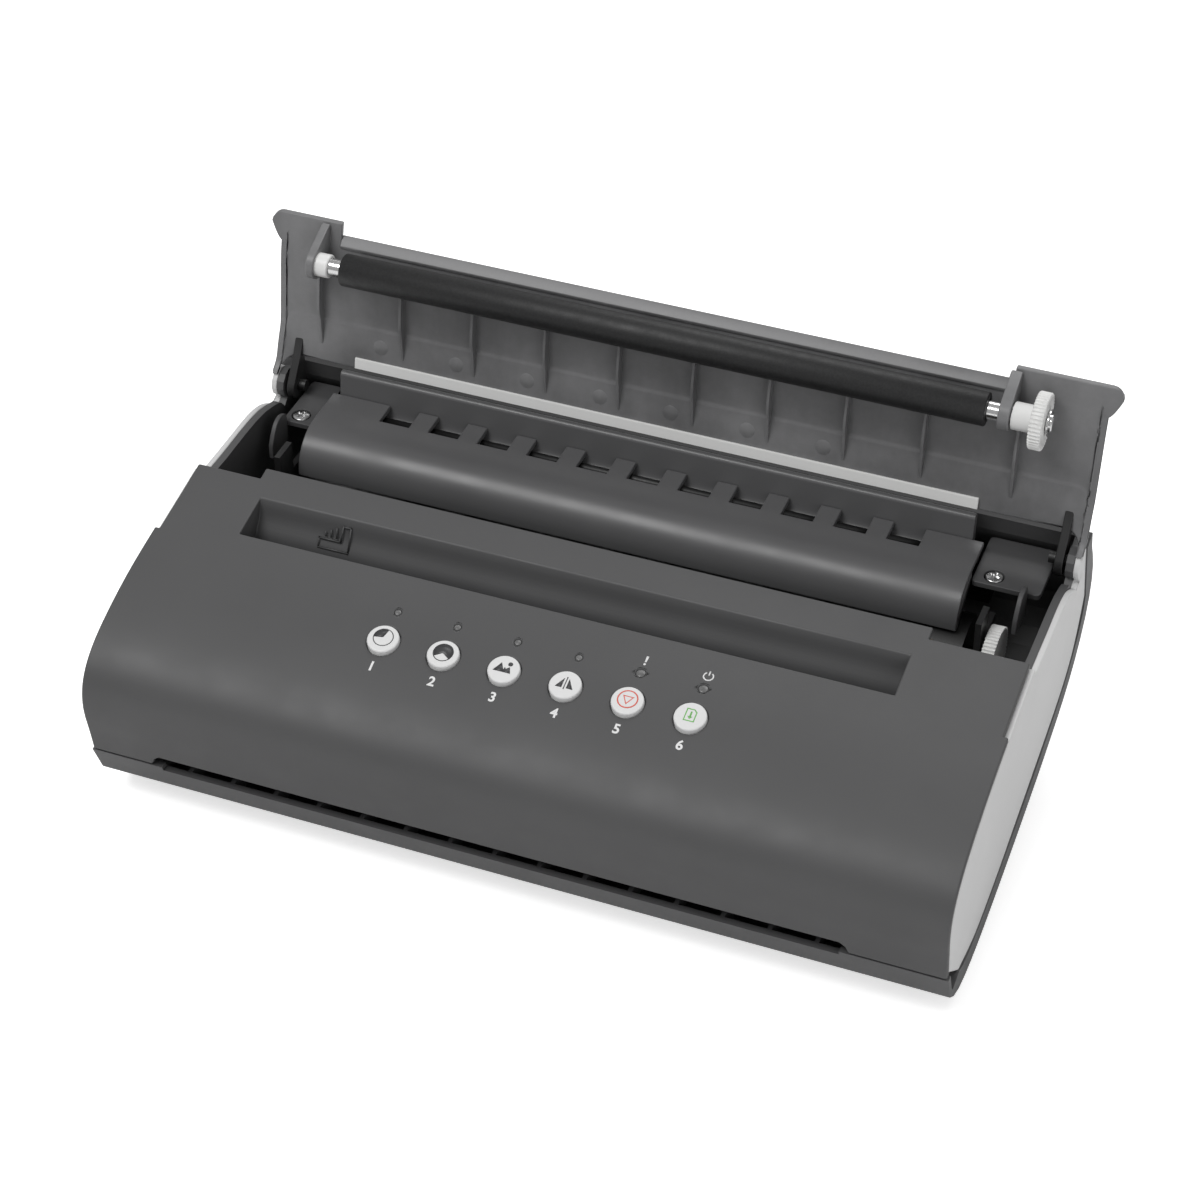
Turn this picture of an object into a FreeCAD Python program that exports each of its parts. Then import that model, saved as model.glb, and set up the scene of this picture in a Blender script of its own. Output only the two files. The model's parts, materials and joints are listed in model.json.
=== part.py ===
import FreeCAD, Part
import math
import os

# Desk-top stencil copier, lid open. Millimetres. The origin is on the table under the middle of the machine,
# +X to the operator's right, +Y to the rear, +Z up.

# Overall sizes
body_half_width = 142.5
body_half_depth = 83.0
deck_height = 82.2
skin = 2.2
wall = 2.5
overrun = 6.0
joint_gap = 0.3
run_gap = 0.05
part_gap = 0.4
rim_width = 8.0

# The mechanism sits a little left of the middle of the case
mech_x = -4.6
paper_half_width_inset = 33.0

# Outlines seen from the side, as shares of half the depth (y) and of the deck height (z)
cover_line_shares = (
    (-0.963, 0.302), (-0.983, 0.425), (-1.000, 0.555), (-0.972, 0.668),
    (-0.893, 0.751), (-0.753, 0.821), (-0.548, 0.887), (-0.300, 0.938), (0.024, 1.000),
)
rim_shares = (
    (-0.908, 0.158), (-0.800, 0.078), (-0.614, 0.044), (-0.310, 0.066), (0.000, 0.112), (0.300, 0.168),
    (0.580, 0.238), (0.780, 0.318), (0.915, 0.430), (0.988, 0.560), (0.993, 0.690), (0.950, 0.815),
    (0.897, 0.905), (0.873, 0.988),
)
side_top_shares = (
    (0.036, 0.926), (0.181, 0.920), (0.361, 0.922), (0.458, 0.919), (0.537, 0.910),
    (0.602, 0.893), (0.669, 0.870), (0.690, 0.850), (0.711, 0.824),
)
lid_back_shares = (
    (0.839, 1.017), (0.858, 1.120), (0.878, 1.223), (0.885, 1.302), (0.895, 1.364), (0.914, 1.464), (0.940, 1.561),
)
lid_edge_shares = (
    (0.7205, 0.966), (0.752, 0.987), (0.775, 1.012), (0.789, 1.043), (0.818, 1.105), (0.833, 1.136),
    (0.849, 1.203), (0.860, 1.271), (0.875, 1.370), (0.892, 1.470), (0.914, 1.550),
)

# Front slot, feed trough and the two wells at the rear of the top cover
slot_low_share = 0.274939
slot_high_share = 0.350365
slot_left_inset = 25.0
slot_right_inset = 34.0
slot_flare = 4.0
slot_rib_pitch = 15.0
slot_rib = 1.4
trough_left_inset = 28.3
trough_right_inset = 37.5
trough_front_share = -0.261446
trough_rear_share = -0.06747
trough_floor_share = 0.723844
trough_throat = 8.5
trough_step = 6.5
cover_step = 1.6
cover_inset = 0.5
cover_step_y_share = -0.325301
centre_edge_y_share = 0.079518
centre_left_inset = 24.5
centre_right_inset = 33.9

# Row of keys and lamps
key_count = 6
key_first_x = -52.1
key_pitch = 20.26
key_y_share = -0.578313
key_radius = 5.15
key_proud = 1.1
key_travel = 0.9
key_flange = 1.2
key_flange_thick = 1.0
key_stem_radius = 1.9
cap_edge_share = 0.28
lamp_reach = 11.4
lamp_radius = 1.1
lamp_big_radius = 1.5
lamp_big_count = 2

# Lid and its hinge
lid_half_width_inset = 0.1
lid_flange = 2.2
hinge_y_share = 0.771084
hinge_z_share = 0.907543
close_angle = 99.0
hinge_boss = 5.0
hinge_pin_radius = 2.0
arm_in_inset = 8.9
hinge_arm_thick = 2.8
lid_seat = 5.4
ear_top_share = 1.635036
ear_deep = 10.0
ear_front_share = 0.927711
ear_thick = 2.6
ear_left_inset = 22.1
ear_right_inset = 31.3
tab_proud = 3.6
tab_deep = 8.4
lip_deep = 3.4
lip_thick = 1.4
lid_rib_count = 9
lid_rib_margin = 23.4
lid_rib = 1.2
lid_rib_deep = 3.6

# Platen roller, carried by the lid
platen_reach = 2.4
platen_drop = 10.1
rubber_radius = 5.5
rubber_left_inset = 27.5
rubber_right_inset = 36.7
shaft_radius = 3.0
shaft_left_inset = 16.5
shaft_right_inset = 15.5
bush_left_inset = 17.8
bush_long = 4.8
bush_radius = 4.0
bush_step = 1.0
arm_left_inset = 32.5
bracket_thick = 3.7
bracket_reach = 5.2
hub_radius = 4.0
gear_left_inset = 21.7
gear_thick = 4.1
clip_thick = 0.7
clip_radius = 4.6
strip_thick = 0.9
strip_high = 3.9

# Gears
module_share = 0.00494
platen_teeth = 44
drive_teeth = 60
idler_teeth = 64
scan_teeth = 32
pinion_teeth = 16
tooth_pitch_share = 0.185
tooth_tip_share = 0.10
tooth_root_share = 0.50
tip_share = 0.85
root_share = 1.20
drive_angle = -45.0
pinion_angle = -50.0
train_angle = 193.0
axle_radius = 1.5

# Pan, feet and what the case holds
pan_half_width_inset = 14.5
pan_front_share = -0.746988
pan_rear_share = 0.674699
pan_bottom = 3.0
foot_radius = 7.0
foot_inset = 14.0
foot_recess = 1.0
plate_left_inset = 17.1
plate_right_inset = 25.1
plate_thick = 2.0
plate_drop = 9.5
plate_tab_rise = 1.0
tab_front_share = 0.313253
plate_tab_long = 9.5
floor_top_share = 0.863747
floor_thick = 2.0
floor_front_share = 0.572289
floor_rear_share = 0.86747
floor_left_in_inset = 21.1
floor_right_in_inset = 32.5
floor_out_inset = 9.9
post_radius = 3.6
latch_high = 4.4
latch_long = 12.0
latch_thick = 1.6
latch_left_inset = 10.1
latch_right_inset = 15.5
screw_head_radius = 2.9
screw_head_high = 1.5
screw_radius = 1.4
screw_reach = 4.7
screw_inset = 6.4
guide_rise = 3.3
guide_thick = 2.0
guide_round = 16.0
guide_drop = 14.3
guide_flat = 14.0
window_count = 11
window_margin = 21.5
window_wide = 10.8
window_margin_right = 19.3
window_reach = 4.6
guide_shaft_radius = 1.5
guide_shaft_reach = 9.4
guide_shaft_drop = 3.7
bar_reach = 2.9
bar_radius = 1.6
bar_rise = 8.1
head_ahead = 6.536447
head_behind = 9.463553
head_thick = 1.0
sink_high = 10.0
sensor_wide = 14.0
sensor_high = 9.0
roll_radius = 6.0
motor_radius = 17.0
motor_long = 24.0
motor_boss_radius = 6.5
motor_standoff = 4.6
board_thick = 1.6
board_high = 9.0
board_reach = 12.9
board_long = 43.0

# Fittings in the rear wall
rear_face_y_share = 0.991566
fitting_z_share = 0.596107
fitting_deep = 10.0
fitting_wall = 1.2
jack_x_inset = 82.5
jack_wide = 9.0
jack_bore = 3.2
usb_x_inset = 62.5
usb_wide = 12.0
usb_high = 10.8
switch_x_inset = 38.5
switch_wide = 15.0
switch_high = 12.4
rocker_radius = 5.0
rocker_tilt = 12.0
rocker_notch_share = 0.78

# Places across the machine
slot_left = slot_left_inset - body_half_width
trough_left = trough_left_inset - body_half_width
centre_left = centre_left_inset - body_half_width
ear_left = ear_left_inset - body_half_width
rubber_left = rubber_left_inset - body_half_width
shaft_left = shaft_left_inset - body_half_width
bush_left = bush_left_inset - body_half_width
plate_left = plate_left_inset - body_half_width
floor_left_in = floor_left_in_inset - body_half_width
latch_left = latch_left_inset - body_half_width
slot_right = body_half_width - slot_right_inset
trough_right = body_half_width - trough_right_inset
centre_right = body_half_width - centre_right_inset
ear_right = body_half_width - ear_right_inset
rubber_right = body_half_width - rubber_right_inset
shaft_right = body_half_width - shaft_right_inset
arm_left = body_half_width - arm_left_inset
gear_left = body_half_width - gear_left_inset
plate_right = body_half_width - plate_right_inset
floor_right_in = body_half_width - floor_right_in_inset
latch_right = body_half_width - latch_right_inset
jack_x = body_half_width - jack_x_inset
usb_x = body_half_width - usb_x_inset
switch_x = body_half_width - switch_x_inset
arm_in = body_half_width - arm_in_inset
floor_out = body_half_width - floor_out_inset
pan_half_width = body_half_width - pan_half_width_inset
paper_half_width = body_half_width - paper_half_width_inset
lid_half_width = body_half_width - lid_half_width_inset
tab_half_width = body_half_width + tab_proud
arm_out = arm_in + hinge_arm_thick
lid_rib_first = ear_left + lid_rib_margin
lid_rib_pitch = (ear_right - lid_rib / 6 - lid_rib_first) / (lid_rib_count - 1)
bush_right = bush_left + bush_long
bush_arm_left = bush_left - wall
bush_arm_right = bush_right - bush_step
arm_right = arm_left + bracket_thick
gear_right = gear_left + gear_thick
clip_left = gear_right + part_gap
guide_left = floor_left_in + part_gap
guide_right = floor_right_in - part_gap
window_first = guide_left + window_margin
window_pitch = (guide_right - window_margin_right - window_wide - window_first) / (window_count - 1)
bar_left = guide_left + guide_thick + joint_gap
bar_right = guide_right - 2 * guide_thick

# Places along it
trough_front = body_half_depth * trough_front_share
trough_rear = body_half_depth * trough_rear_share
cover_step_y = body_half_depth * cover_step_y_share
centre_edge_y = body_half_depth * centre_edge_y_share
key_y = body_half_depth * key_y_share
hinge_y = body_half_depth * hinge_y_share
ear_front = body_half_depth * ear_front_share
pan_front = body_half_depth * pan_front_share
pan_rear = body_half_depth * pan_rear_share
tab_front = body_half_depth * tab_front_share
floor_front = body_half_depth * floor_front_share
floor_rear = body_half_depth * floor_rear_share
rear_face_y = body_half_depth * rear_face_y_share
lamp_y = key_y + lamp_reach
platen_y = hinge_y + platen_reach
ear_back = ear_front + ear_thick
tab_rear = tab_front + plate_tab_long
screw_y = floor_front + screw_reach
guide_rear_y = hinge_y
guide_bend_y = guide_rear_y - guide_flat
guide_front_y = guide_bend_y - guide_round
window_front = guide_bend_y + window_reach
guide_shaft_y = guide_bend_y + guide_shaft_reach
bar_y = guide_rear_y + bar_reach
module = body_half_depth * module_share

# Heights
slot_low = deck_height * slot_low_share
slot_high = deck_height * slot_high_share
trough_floor = deck_height * trough_floor_share
hinge_z = deck_height * hinge_z_share
ear_top = deck_height * ear_top_share
floor_top = deck_height * floor_top_share
fitting_z = deck_height * fitting_z_share
ear_low = ear_top - ear_deep
tab_low = ear_top - tab_deep
platen_z = ear_top - platen_drop
plate_top = floor_top - plate_drop
plate_tab_top = floor_top + plate_tab_rise
guide_top = floor_top + guide_rise
guide_front_z = guide_top - guide_drop
guide_shaft_z = guide_top - guide_shaft_drop
bar_top = guide_top + bar_rise


def scaled(shares):
    return [(y * body_half_depth, z * deck_height) for y, z in shares]


def vec(x, y, z):
    return FreeCAD.Vector(x, y, z)


def box(x0, x1, y0, y1, z0, z1):
    return Part.makeBox(x1 - x0, y1 - y0, z1 - z0, vec(x0, y0, z0))


def rod(x0, x1, y, z, radius):
    return Part.makeCylinder(radius, x1 - x0, vec(x0, y, z), vec(1, 0, 0))


def post(x, y, z0, z1, radius):
    return Part.makeCylinder(radius, z1 - z0, vec(x, y, z0), vec(0, 0, 1))


def prism(points, x0, x1):
    corners = [vec(x0, y, z) for y, z in points]
    face = Part.Face(Part.makePolygon(corners + corners[:1]))
    return face.extrude(vec(x1 - x0, 0, 0))


def joined(shapes):
    first = shapes[0]
    return first.fuse(shapes[1:]).removeSplitter() if len(shapes) > 1 else first


def curve_points(points, count):
    """Evenly spaced points on the smooth line through the given points."""
    spline = Part.BSplineCurve()
    spline.interpolate([vec(0, y, z) for y, z in points])
    return [(p.y, p.z) for p in spline.toShape().discretize(count)]


def pushed(points, distance):
    """The line moved sideways by a distance, to its left when walked from first to last."""
    moved = []
    last = len(points) - 1
    for i, (y, z) in enumerate(points):
        before = points[max(i - 1, 0)]
        after = points[min(i + 1, last)]
        dy = after[0] - before[0]
        dz = after[1] - before[1]
        size = math.hypot(dy, dz)
        moved.append((y - distance * dz / size, z + distance * dy / size))
    return moved


def spline_edge(points, x):
    spline = Part.BSplineCurve()
    spline.interpolate([vec(x, y, z) for y, z in points])
    return spline.toShape()


def line_edge(a, b, x):
    return Part.makeLine(vec(x, a[0], a[1]), vec(x, b[0], b[1]))


def band(outer, inner, x0, x1):
    """A sheet between two smooth lines, extruded across the machine."""
    edges = [spline_edge(outer, x0), line_edge(outer[-1], inner[-1], x0),
             spline_edge(inner, x0), line_edge(inner[0], outer[0], x0)]
    wire = Part.Wire(Part.__sortEdges__(edges))
    return Part.Face(wire).extrude(vec(x1 - x0, 0, 0))


def turned(point, angle, centre=None):
    """A (y, z) point turned about a line along X, the hinge unless another centre is given."""
    cy, cz = centre or (hinge_y, hinge_z)
    c = math.cos(math.radians(angle))
    s = math.sin(math.radians(angle))
    dy = point[0] - cy
    dz = point[1] - cz
    return cy + dy * c - dz * s, cz + dy * s + dz * c


def pitch_radius(teeth):
    return module * teeth / 2


def spur(teeth, x0, x1, centre, phase, bore):
    """A spur gear with straight-sided teeth, one centred on the phase angle; shares are of one tooth's step."""
    step = 2 * math.pi / teeth
    middle = pitch_radius(teeth)
    rows = ((middle - module * root_share, -tooth_root_share), (middle, -tooth_pitch_share),
            (middle + module * tip_share, -tooth_tip_share), (middle + module * tip_share, tooth_tip_share),
            (middle, tooth_pitch_share))
    outline = []
    for i in range(teeth):
        for radius, share in rows:
            angle = math.radians(phase) + step * (i + share)
            outline.append((centre[0] + radius * math.cos(angle), centre[1] + radius * math.sin(angle)))
    body = prism(outline, x0, x1)
    return body.cut(rod(x0 - overrun, x1 + overrun, centre[0], centre[1], bore))


def meshed_phase(teeth_a, phase_a, teeth_b, direction):
    """The phase of gear b that puts a gap where gear a has a tooth, b lying in the given direction from a."""
    step_a = 360.0 / teeth_a
    step_b = 360.0 / teeth_b
    part = ((direction - phase_a) / step_a) % 1.0
    return direction + 180.0 + (part + 0.5) * step_b


def away(centre, distance, angle):
    return (centre[0] + distance * math.cos(math.radians(angle)),
            centre[1] + distance * math.sin(math.radians(angle)))


# Places worked out from the sizes above
platen_centre = (platen_y, platen_z)
platen_closed = turned(platen_centre, close_angle)
drive_centre = away(platen_closed, pitch_radius(platen_teeth) + pitch_radius(drive_teeth), drive_angle)
pinion_centre = away(drive_centre, pitch_radius(drive_teeth) + pitch_radius(pinion_teeth), pinion_angle)
idler_centre = away(drive_centre, pitch_radius(drive_teeth) + pitch_radius(idler_teeth), train_angle)
idler2_centre = away(idler_centre, 2 * pitch_radius(idler_teeth), train_angle)
scan_centre = away(idler2_centre, pitch_radius(idler_teeth) + pitch_radius(scan_teeth), train_angle)

head_front = platen_closed[0] - head_ahead
head_rear = platen_closed[0] + head_behind
board_front = scan_centre[0] + board_reach
board_rear = board_front + board_long

cover_outer = curve_points(scaled(cover_line_shares), 28)
cover_inner = pushed(cover_outer, -skin)
rim_line = curve_points(scaled(rim_shares), 30)
panel_low = pushed(rim_line, rim_width)[1:-4]
side_top = scaled(side_top_shares)
lid_back = scaled(lid_back_shares)
lid_edge = scaled(lid_edge_shares)


def deck_z(y):
    """Height of the cover's top face at a depth y behind the keys."""
    for a, b in zip(cover_outer, cover_outer[1:]):
        if a[0] <= y <= b[0] and b[1] > deck_height / 2:
            return a[1] + (b[1] - a[1]) * (y - a[0]) / (b[0] - a[0])
    a = cover_outer[-2]
    b = cover_outer[-1]
    return b[1] + (b[1] - a[1]) * (y - b[0]) / (b[0] - a[0])


key_slope = math.degrees(math.atan2(deck_z(key_y + key_radius) - deck_z(key_y - key_radius), 2 * key_radius))
key_axis = vec(0, -math.sin(math.radians(key_slope)), math.cos(math.radians(key_slope)))


def key_xs():
    return [key_first_x + key_pitch * i for i in range(key_count)]


def on_deck(x, y, low, high, radius):
    """A cylinder square to the sloping deck, from low to high measured from the deck's face."""
    start = vec(x, y, deck_z(y)) + key_axis * low
    return Part.makeCylinder(radius, high - low, start, key_axis)


def hinge_bulge():
    """Points round the hinge axis, from its rear to its front, for the side outlines."""
    angles = (60, 90, 120, 150, 180, 210, 240)
    return [away((hinge_y, hinge_z), lid_seat, a) for a in angles]


def side_outline(low, gap):
    """The whole side: a low line, round the hinge, down to the top edge, then under the cover."""
    under = [p for p in pushed(cover_outer, -(skin + gap)) if p[0] < side_top[0][0]]
    front = [p for p in under if p[1] > low[0][1]]
    return low + hinge_bulge() + side_top[::-1] + front[::-1]


def base_shell():
    inner_line = pushed(rim_line, wall)
    skin_body = prism(rim_line + inner_line[::-1], -body_half_width, body_half_width)
    front_top = cover_outer[0][1] - part_gap
    front_lip = prism([rim_line[0], (cover_outer[0][0], front_top), (cover_outer[0][0] + wall, front_top),
                       inner_line[0]], -body_half_width, body_half_width)
    pan = box(-pan_half_width, pan_half_width, pan_front, pan_rear, pan_bottom, slot_high)
    leaf_outer = prism(rim_line + [inner_line[-1], (0, deck_height / 2), (pan_front - wall, deck_height / 2)],
                       -body_half_width, body_half_width)
    pan_skin = pan.cut(leaf_outer)
    hollow = box(-pan_half_width + wall, pan_half_width - wall, pan_front + wall, pan_rear - wall,
                 pan_bottom + wall, deck_height)
    shell = skin_body.fuse([front_lip, pan_skin]).cut(hollow.cut(box(
        -body_half_width, body_half_width, pan_rear - wall, body_half_depth, pan_bottom, deck_height)))
    side = side_outline(rim_line, joint_gap)
    walls = []
    for sign in (-1, 1):
        x0, x1 = sorted((sign * (body_half_width - wall - skin - joint_gap), sign * (body_half_width - wall)))
        walls.append(prism(side, x0, x1))
        r0, r1 = sorted((sign * (body_half_width - wall - run_gap), sign * body_half_width))
        ring = prism(rim_line + hinge_bulge()[:1] + [panel_low[-1]] + panel_low[::-1], r0, r1)
        walls.append(ring)
    shell = shell.fuse(walls)
    for sign in (-1, 1):
        x0, x1 = sorted((sign * arm_out, sign * body_half_width))
        shell = shell.cut(rod(x0, x1, hinge_y, hinge_z, hinge_pin_radius))
    shell = shell.cut(slot_cut(slot_low))
    return shell.fuse(base_ribs() + foot_seats()).cut(foot_holes() + rear_holes())


def base_ribs():
    ribs = []
    x = slot_left + slot_rib_pitch / 2
    while x < slot_right:
        ribs.append(prism([(cover_outer[0][0] + wall / 2, slot_low), (pan_front + wall, slot_low),
                           (pan_front + wall, slot_low - 3 * wall), (rim_line[0][0] + wall, slot_low - 3 * wall)],
                          x, x + slot_rib))
        x += slot_rib_pitch
    return ribs


def slot_cut(low):
    return box(slot_left, slot_right, -body_half_depth - overrun, pan_front, low, slot_high)


def foot_places():
    x = pan_half_width - foot_inset
    return [(sx * x, y) for sx in (-1, 1) for y in (pan_front + foot_inset, pan_rear - foot_inset)]


def foot_seats():
    return [post(x, y, pan_bottom, pan_bottom + wall + foot_recess, foot_radius + wall) for x, y in foot_places()]


def foot_holes():
    return [post(x, y, 0, pan_bottom + foot_recess, foot_radius + joint_gap / 2) for x, y in foot_places()]


def rear_holes():
    sizes = ((jack_x, jack_wide, jack_wide), (usb_x, usb_wide, usb_high), (switch_x, switch_wide, switch_high))
    return [box(x - w / 2 - joint_gap / 2, x + w / 2 + joint_gap / 2, rear_face_y - fitting_deep,
                body_half_depth + overrun, fitting_z - h / 2 - joint_gap / 2, fitting_z + h / 2 + joint_gap / 2)
            for x, w, h in sizes]


def fitting_block(x, wide, high):
    return box(x - wide / 2, x + wide / 2, rear_face_y - fitting_deep, rear_face_y,
               fitting_z - high / 2, fitting_z + high / 2)


def dc_jack():
    block = fitting_block(jack_x, jack_wide, jack_wide)
    socket = Part.makeCylinder(jack_bore, fitting_deep, vec(jack_x, rear_face_y - fitting_deep + fitting_wall,
                                                            fitting_z), vec(0, 1, 0))
    return block.cut(socket)


def usb_port():
    block = fitting_block(usb_x, usb_wide, usb_high)
    half_x = usb_wide / 2 - fitting_wall
    half_z = usb_high / 2 - fitting_wall
    socket = box(usb_x - half_x, usb_x + half_x, rear_face_y - fitting_deep + fitting_wall,
                 rear_face_y + overrun, fitting_z - half_z, fitting_z + half_z)
    return block.cut(socket)


def rocker_y():
    return rear_face_y - rocker_radius


def switch_frame():
    block = fitting_block(switch_x, switch_wide, switch_high)
    half_x = switch_wide / 2 - fitting_wall
    return block.cut(rod(switch_x - half_x, switch_x + half_x, rocker_y(), fitting_z, rocker_radius + joint_gap))


def switch_rocker():
    """A drum behind the frame's opening, its face cut to a shallow V that tips about the drum's axis."""
    half_x = switch_wide / 2 - fitting_wall - joint_gap
    drum = rod(switch_x - half_x, switch_x + half_x, rocker_y(), fitting_z, rocker_radius)
    centre = (rocker_y(), fitting_z)
    notch = prism([away(centre, rocker_radius * rocker_notch_share, 0), away(centre, 2 * rocker_radius, 90 - 2 * rocker_tilt),
                   away(centre, 3 * rocker_radius, 0), away(centre, 2 * rocker_radius, -90 + 4 * rocker_tilt)],
                  switch_x - half_x - overrun, switch_x + half_x + overrun)
    return drum.cut(notch)


def rubber_feet():
    return Part.makeCompound([post(x, y, 0, pan_bottom + foot_recess, foot_radius) for x, y in foot_places()])


def top_cover():
    half = body_half_width - cover_inset
    line = cover_outer
    cover = band(line, cover_inner, -half, half)
    back = prism([line[-1], (centre_edge_y, deck_z(centre_edge_y)),
                  (centre_edge_y, deck_z(centre_edge_y) - skin), cover_inner[-1]], centre_left, centre_right)
    cover = cover.fuse(back)
    for sign in (-1, 1):
        x0, x1 = sorted((sign * (half - cover_step), sign * (half + overrun)))
        cover = cover.cut(box(x0, x1, cover_step_y, body_half_depth, deck_height / 2, 2 * deck_height))
    cover = cover.cut(flared_slot())
    cover = cover.cut(trough_prism(0, overrun))
    walls = trough_prism(skin, 0).cut(trough_prism(0, overrun))
    cover = cover.fuse(walls)
    holes = []
    for i, x in enumerate(key_xs()):
        holes.append(on_deck(x, key_y, -2 * skin, 2 * skin, key_radius + joint_gap))
        holes.append(on_deck(x, lamp_y, -2 * skin, 2 * skin, lamp_size(i) + run_gap))
    return cover.cut(holes)


def lamp_size(i):
    return lamp_big_radius if i >= key_count - lamp_big_count else lamp_radius


def flared_slot():
    """The paper's way out of the front: its two ends open outwards at a slant."""
    y0 = -body_half_depth - overrun
    z0 = cover_outer[0][1] - overrun
    corners = [vec(slot_left - slot_flare, y0, z0), vec(slot_right + slot_flare, y0, z0),
               vec(slot_right, y0, slot_high), vec(slot_left, y0, slot_high)]
    face = Part.Face(Part.makePolygon(corners + corners[:1]))
    return face.extrude(vec(0, body_half_depth / 2, 0))


def trough_prism(grow, up):
    """The feed trough as a solid: a steep rear wall, a short bend and an open throat at its foot."""
    top = deck_height + up
    front = trough_front - grow
    rear = trough_rear + grow
    low = trough_floor
    points = [(front, low), (trough_front + trough_throat + grow, low),
              (trough_rear - trough_step + grow, (low + deck_height) / 2),
              (rear, deck_z(trough_rear) - skin), (rear, top), (front, top)]
    solid = prism(points, trough_left - grow, trough_right + grow)
    if up:
        return solid
    return solid.common(prism([cover_outer[0]] + cover_outer + [(centre_edge_y, 0), (cover_outer[0][0], 0)],
                              -body_half_width, body_half_width))


def side_panel(sign):
    outline = side_outline(panel_low, joint_gap)
    x0, x1 = sorted((sign * (body_half_width - wall), sign * (body_half_width - part_gap)))
    return prism(outline, x0, x1)


def frame_plate(x0):
    """An upright plate that carries the rollers and gears, cut low where the lid's arms come down."""
    low = pan_bottom + wall + foot_recess
    points = [(pan_front + 2 * wall, low), (pan_rear - 4 * wall, low), (pan_rear - 4 * wall, plate_top),
              (platen_closed[0] - 2 * wall, plate_top), (platen_closed[0] - 6 * wall, scan_centre[1] + 6 * wall),
              (pan_front + 2 * wall, scan_centre[1] + 2 * wall)]
    plate = prism(points, x0, x0 + plate_thick)
    tab = box(x0, x0 + plate_thick, tab_front, tab_rear, plate_top - wall, plate_tab_top)
    plate = plate.fuse(tab)
    return plate.cut(rod(x0 - overrun, x0 + overrun, scan_centre[0], scan_centre[1], shaft_radius + run_gap))


def frame_left():
    return frame_plate(plate_left)


def frame_right():
    plate = frame_plate(plate_right)
    studs = [rod(plate_right + plate_thick, gear_right + wall, c[0], c[1], axle_radius)
             for c in (drive_centre, idler_centre, idler2_centre)]
    hole = rod(plate_right - overrun, plate_right + overrun, pinion_centre[0], pinion_centre[1],
               axle_radius + run_gap)
    return plate.fuse(studs).cut(hole)


def shell_floor_z(y):
    """Height of the case's inner floor at a depth y, on the rising rear half."""
    inner = pushed(rim_line, wall)
    for a, b in zip(inner, inner[1:]):
        if a[0] <= y <= b[0]:
            return a[1] + (b[1] - a[1]) * (y - a[0]) / (b[0] - a[0])
    return inner[-1][1]


def floor_plate(x0, x1, screw_x):
    plate = box(x0, x1, floor_front, floor_rear, floor_top - floor_thick, floor_top)
    leg = post(screw_x, screw_y, shell_floor_z(screw_y + post_radius), floor_top - floor_thick, post_radius)
    plate = plate.fuse(leg)
    head = post(screw_x, screw_y, floor_top - floor_thick / 2, floor_top + overrun, screw_head_radius + part_gap)
    return plate.cut([head, post(screw_x, screw_y, floor_top - 5 * wall, floor_top, screw_radius)])


def screw_xs():
    return (floor_left_in - screw_inset, floor_right_in + screw_inset)


def floor_left():
    return floor_plate(-floor_out, floor_left_in, screw_xs()[0])


def floor_right():
    return floor_plate(floor_right_in, floor_out, screw_xs()[1])


def latch_arms():
    """Rounded upright fingers at the front of the floor plates, which the closed lid rests between."""
    low = floor_top - 4 * floor_thick
    top = floor_top + latch_high
    front = floor_front - latch_long
    line = [(floor_front, low), (front, low), (front, floor_top - floor_thick),
            (front + latch_long / 3, top - floor_thick / 2), (front + latch_long * 2 / 3, top),
            (floor_front, top - floor_thick)]
    return Part.makeCompound([prism(line, x, x + latch_thick) for x in (latch_left, latch_right)])


def floor_screws():
    screws = []
    for x in screw_xs():
        low = floor_top - floor_thick / 2
        head = post(x, screw_y, low, low + screw_head_high, screw_head_radius)
        shank = post(x, screw_y, floor_top - 5 * wall, low, screw_radius)
        screws.append(head.fuse(shank))
    return Part.makeCompound(screws)


def guide_line():
    front = (guide_front_y, guide_front_z)
    knee = (guide_front_y + guide_thick, guide_top - 3 * guide_thick)
    bend = (guide_bend_y, guide_top)
    spline = curve_points([front, knee, ((knee[0] + bend[0]) / 2, guide_top - guide_thick / 2), bend], 10)
    return spline + [(guide_rear_y, guide_top)]


def paper_guide():
    outer = guide_line()
    inner = pushed(outer, -guide_thick)
    guide = prism(outer + inner[::-1], guide_left, guide_right)
    ends = [prism(inner + [(guide_rear_y, floor_top - floor_thick), (guide_front_y + guide_thick, guide_front_z)],
                  x, x + guide_thick) for x in (guide_left, guide_right - guide_thick)]
    guide = guide.fuse(ends)
    cuts = [box(x, x + window_wide, window_front, guide_rear_y + overrun, guide_top - 3 * guide_thick,
                guide_top + overrun)
            for x in window_xs()]
    cuts.append(rod(guide_left - overrun, guide_right + overrun, guide_shaft_y, guide_shaft_z,
                    guide_shaft_radius))
    return guide.cut(cuts)


def window_xs():
    return [window_first + window_pitch * i for i in range(window_count)]


def guide_shaft():
    return rod(guide_left, guide_right, guide_shaft_y, guide_shaft_z, guide_shaft_radius)


def rear_guide_bar():
    """A rounded bar on a curved ramp behind the guide, over which the sheet is fed."""
    low = floor_top - 2 * floor_thick
    ramp = curve_points([(guide_rear_y - 2 * guide_thick, low + floor_thick / 2), (guide_rear_y - guide_thick / 2,
                        low + guide_thick), (bar_y - 1.5 * bar_radius, guide_top), (bar_y - bar_radius,
                        bar_top - bar_radius)], 8)
    foot = prism(ramp + [(bar_y + bar_radius, bar_top - bar_radius), (bar_y + bar_radius, low),
                         (guide_rear_y - 2 * guide_thick, low)], bar_left, bar_right)
    return foot.fuse(rod(bar_left, bar_right, bar_y, bar_top - bar_radius, bar_radius))


def head_top():
    return platen_closed[1] - rubber_radius - joint_gap


def thermal_head():
    x0, x1 = mech_x - paper_half_width, mech_x + paper_half_width
    return box(x0, x1, head_front, head_rear, head_top() - head_thick, head_top())


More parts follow.
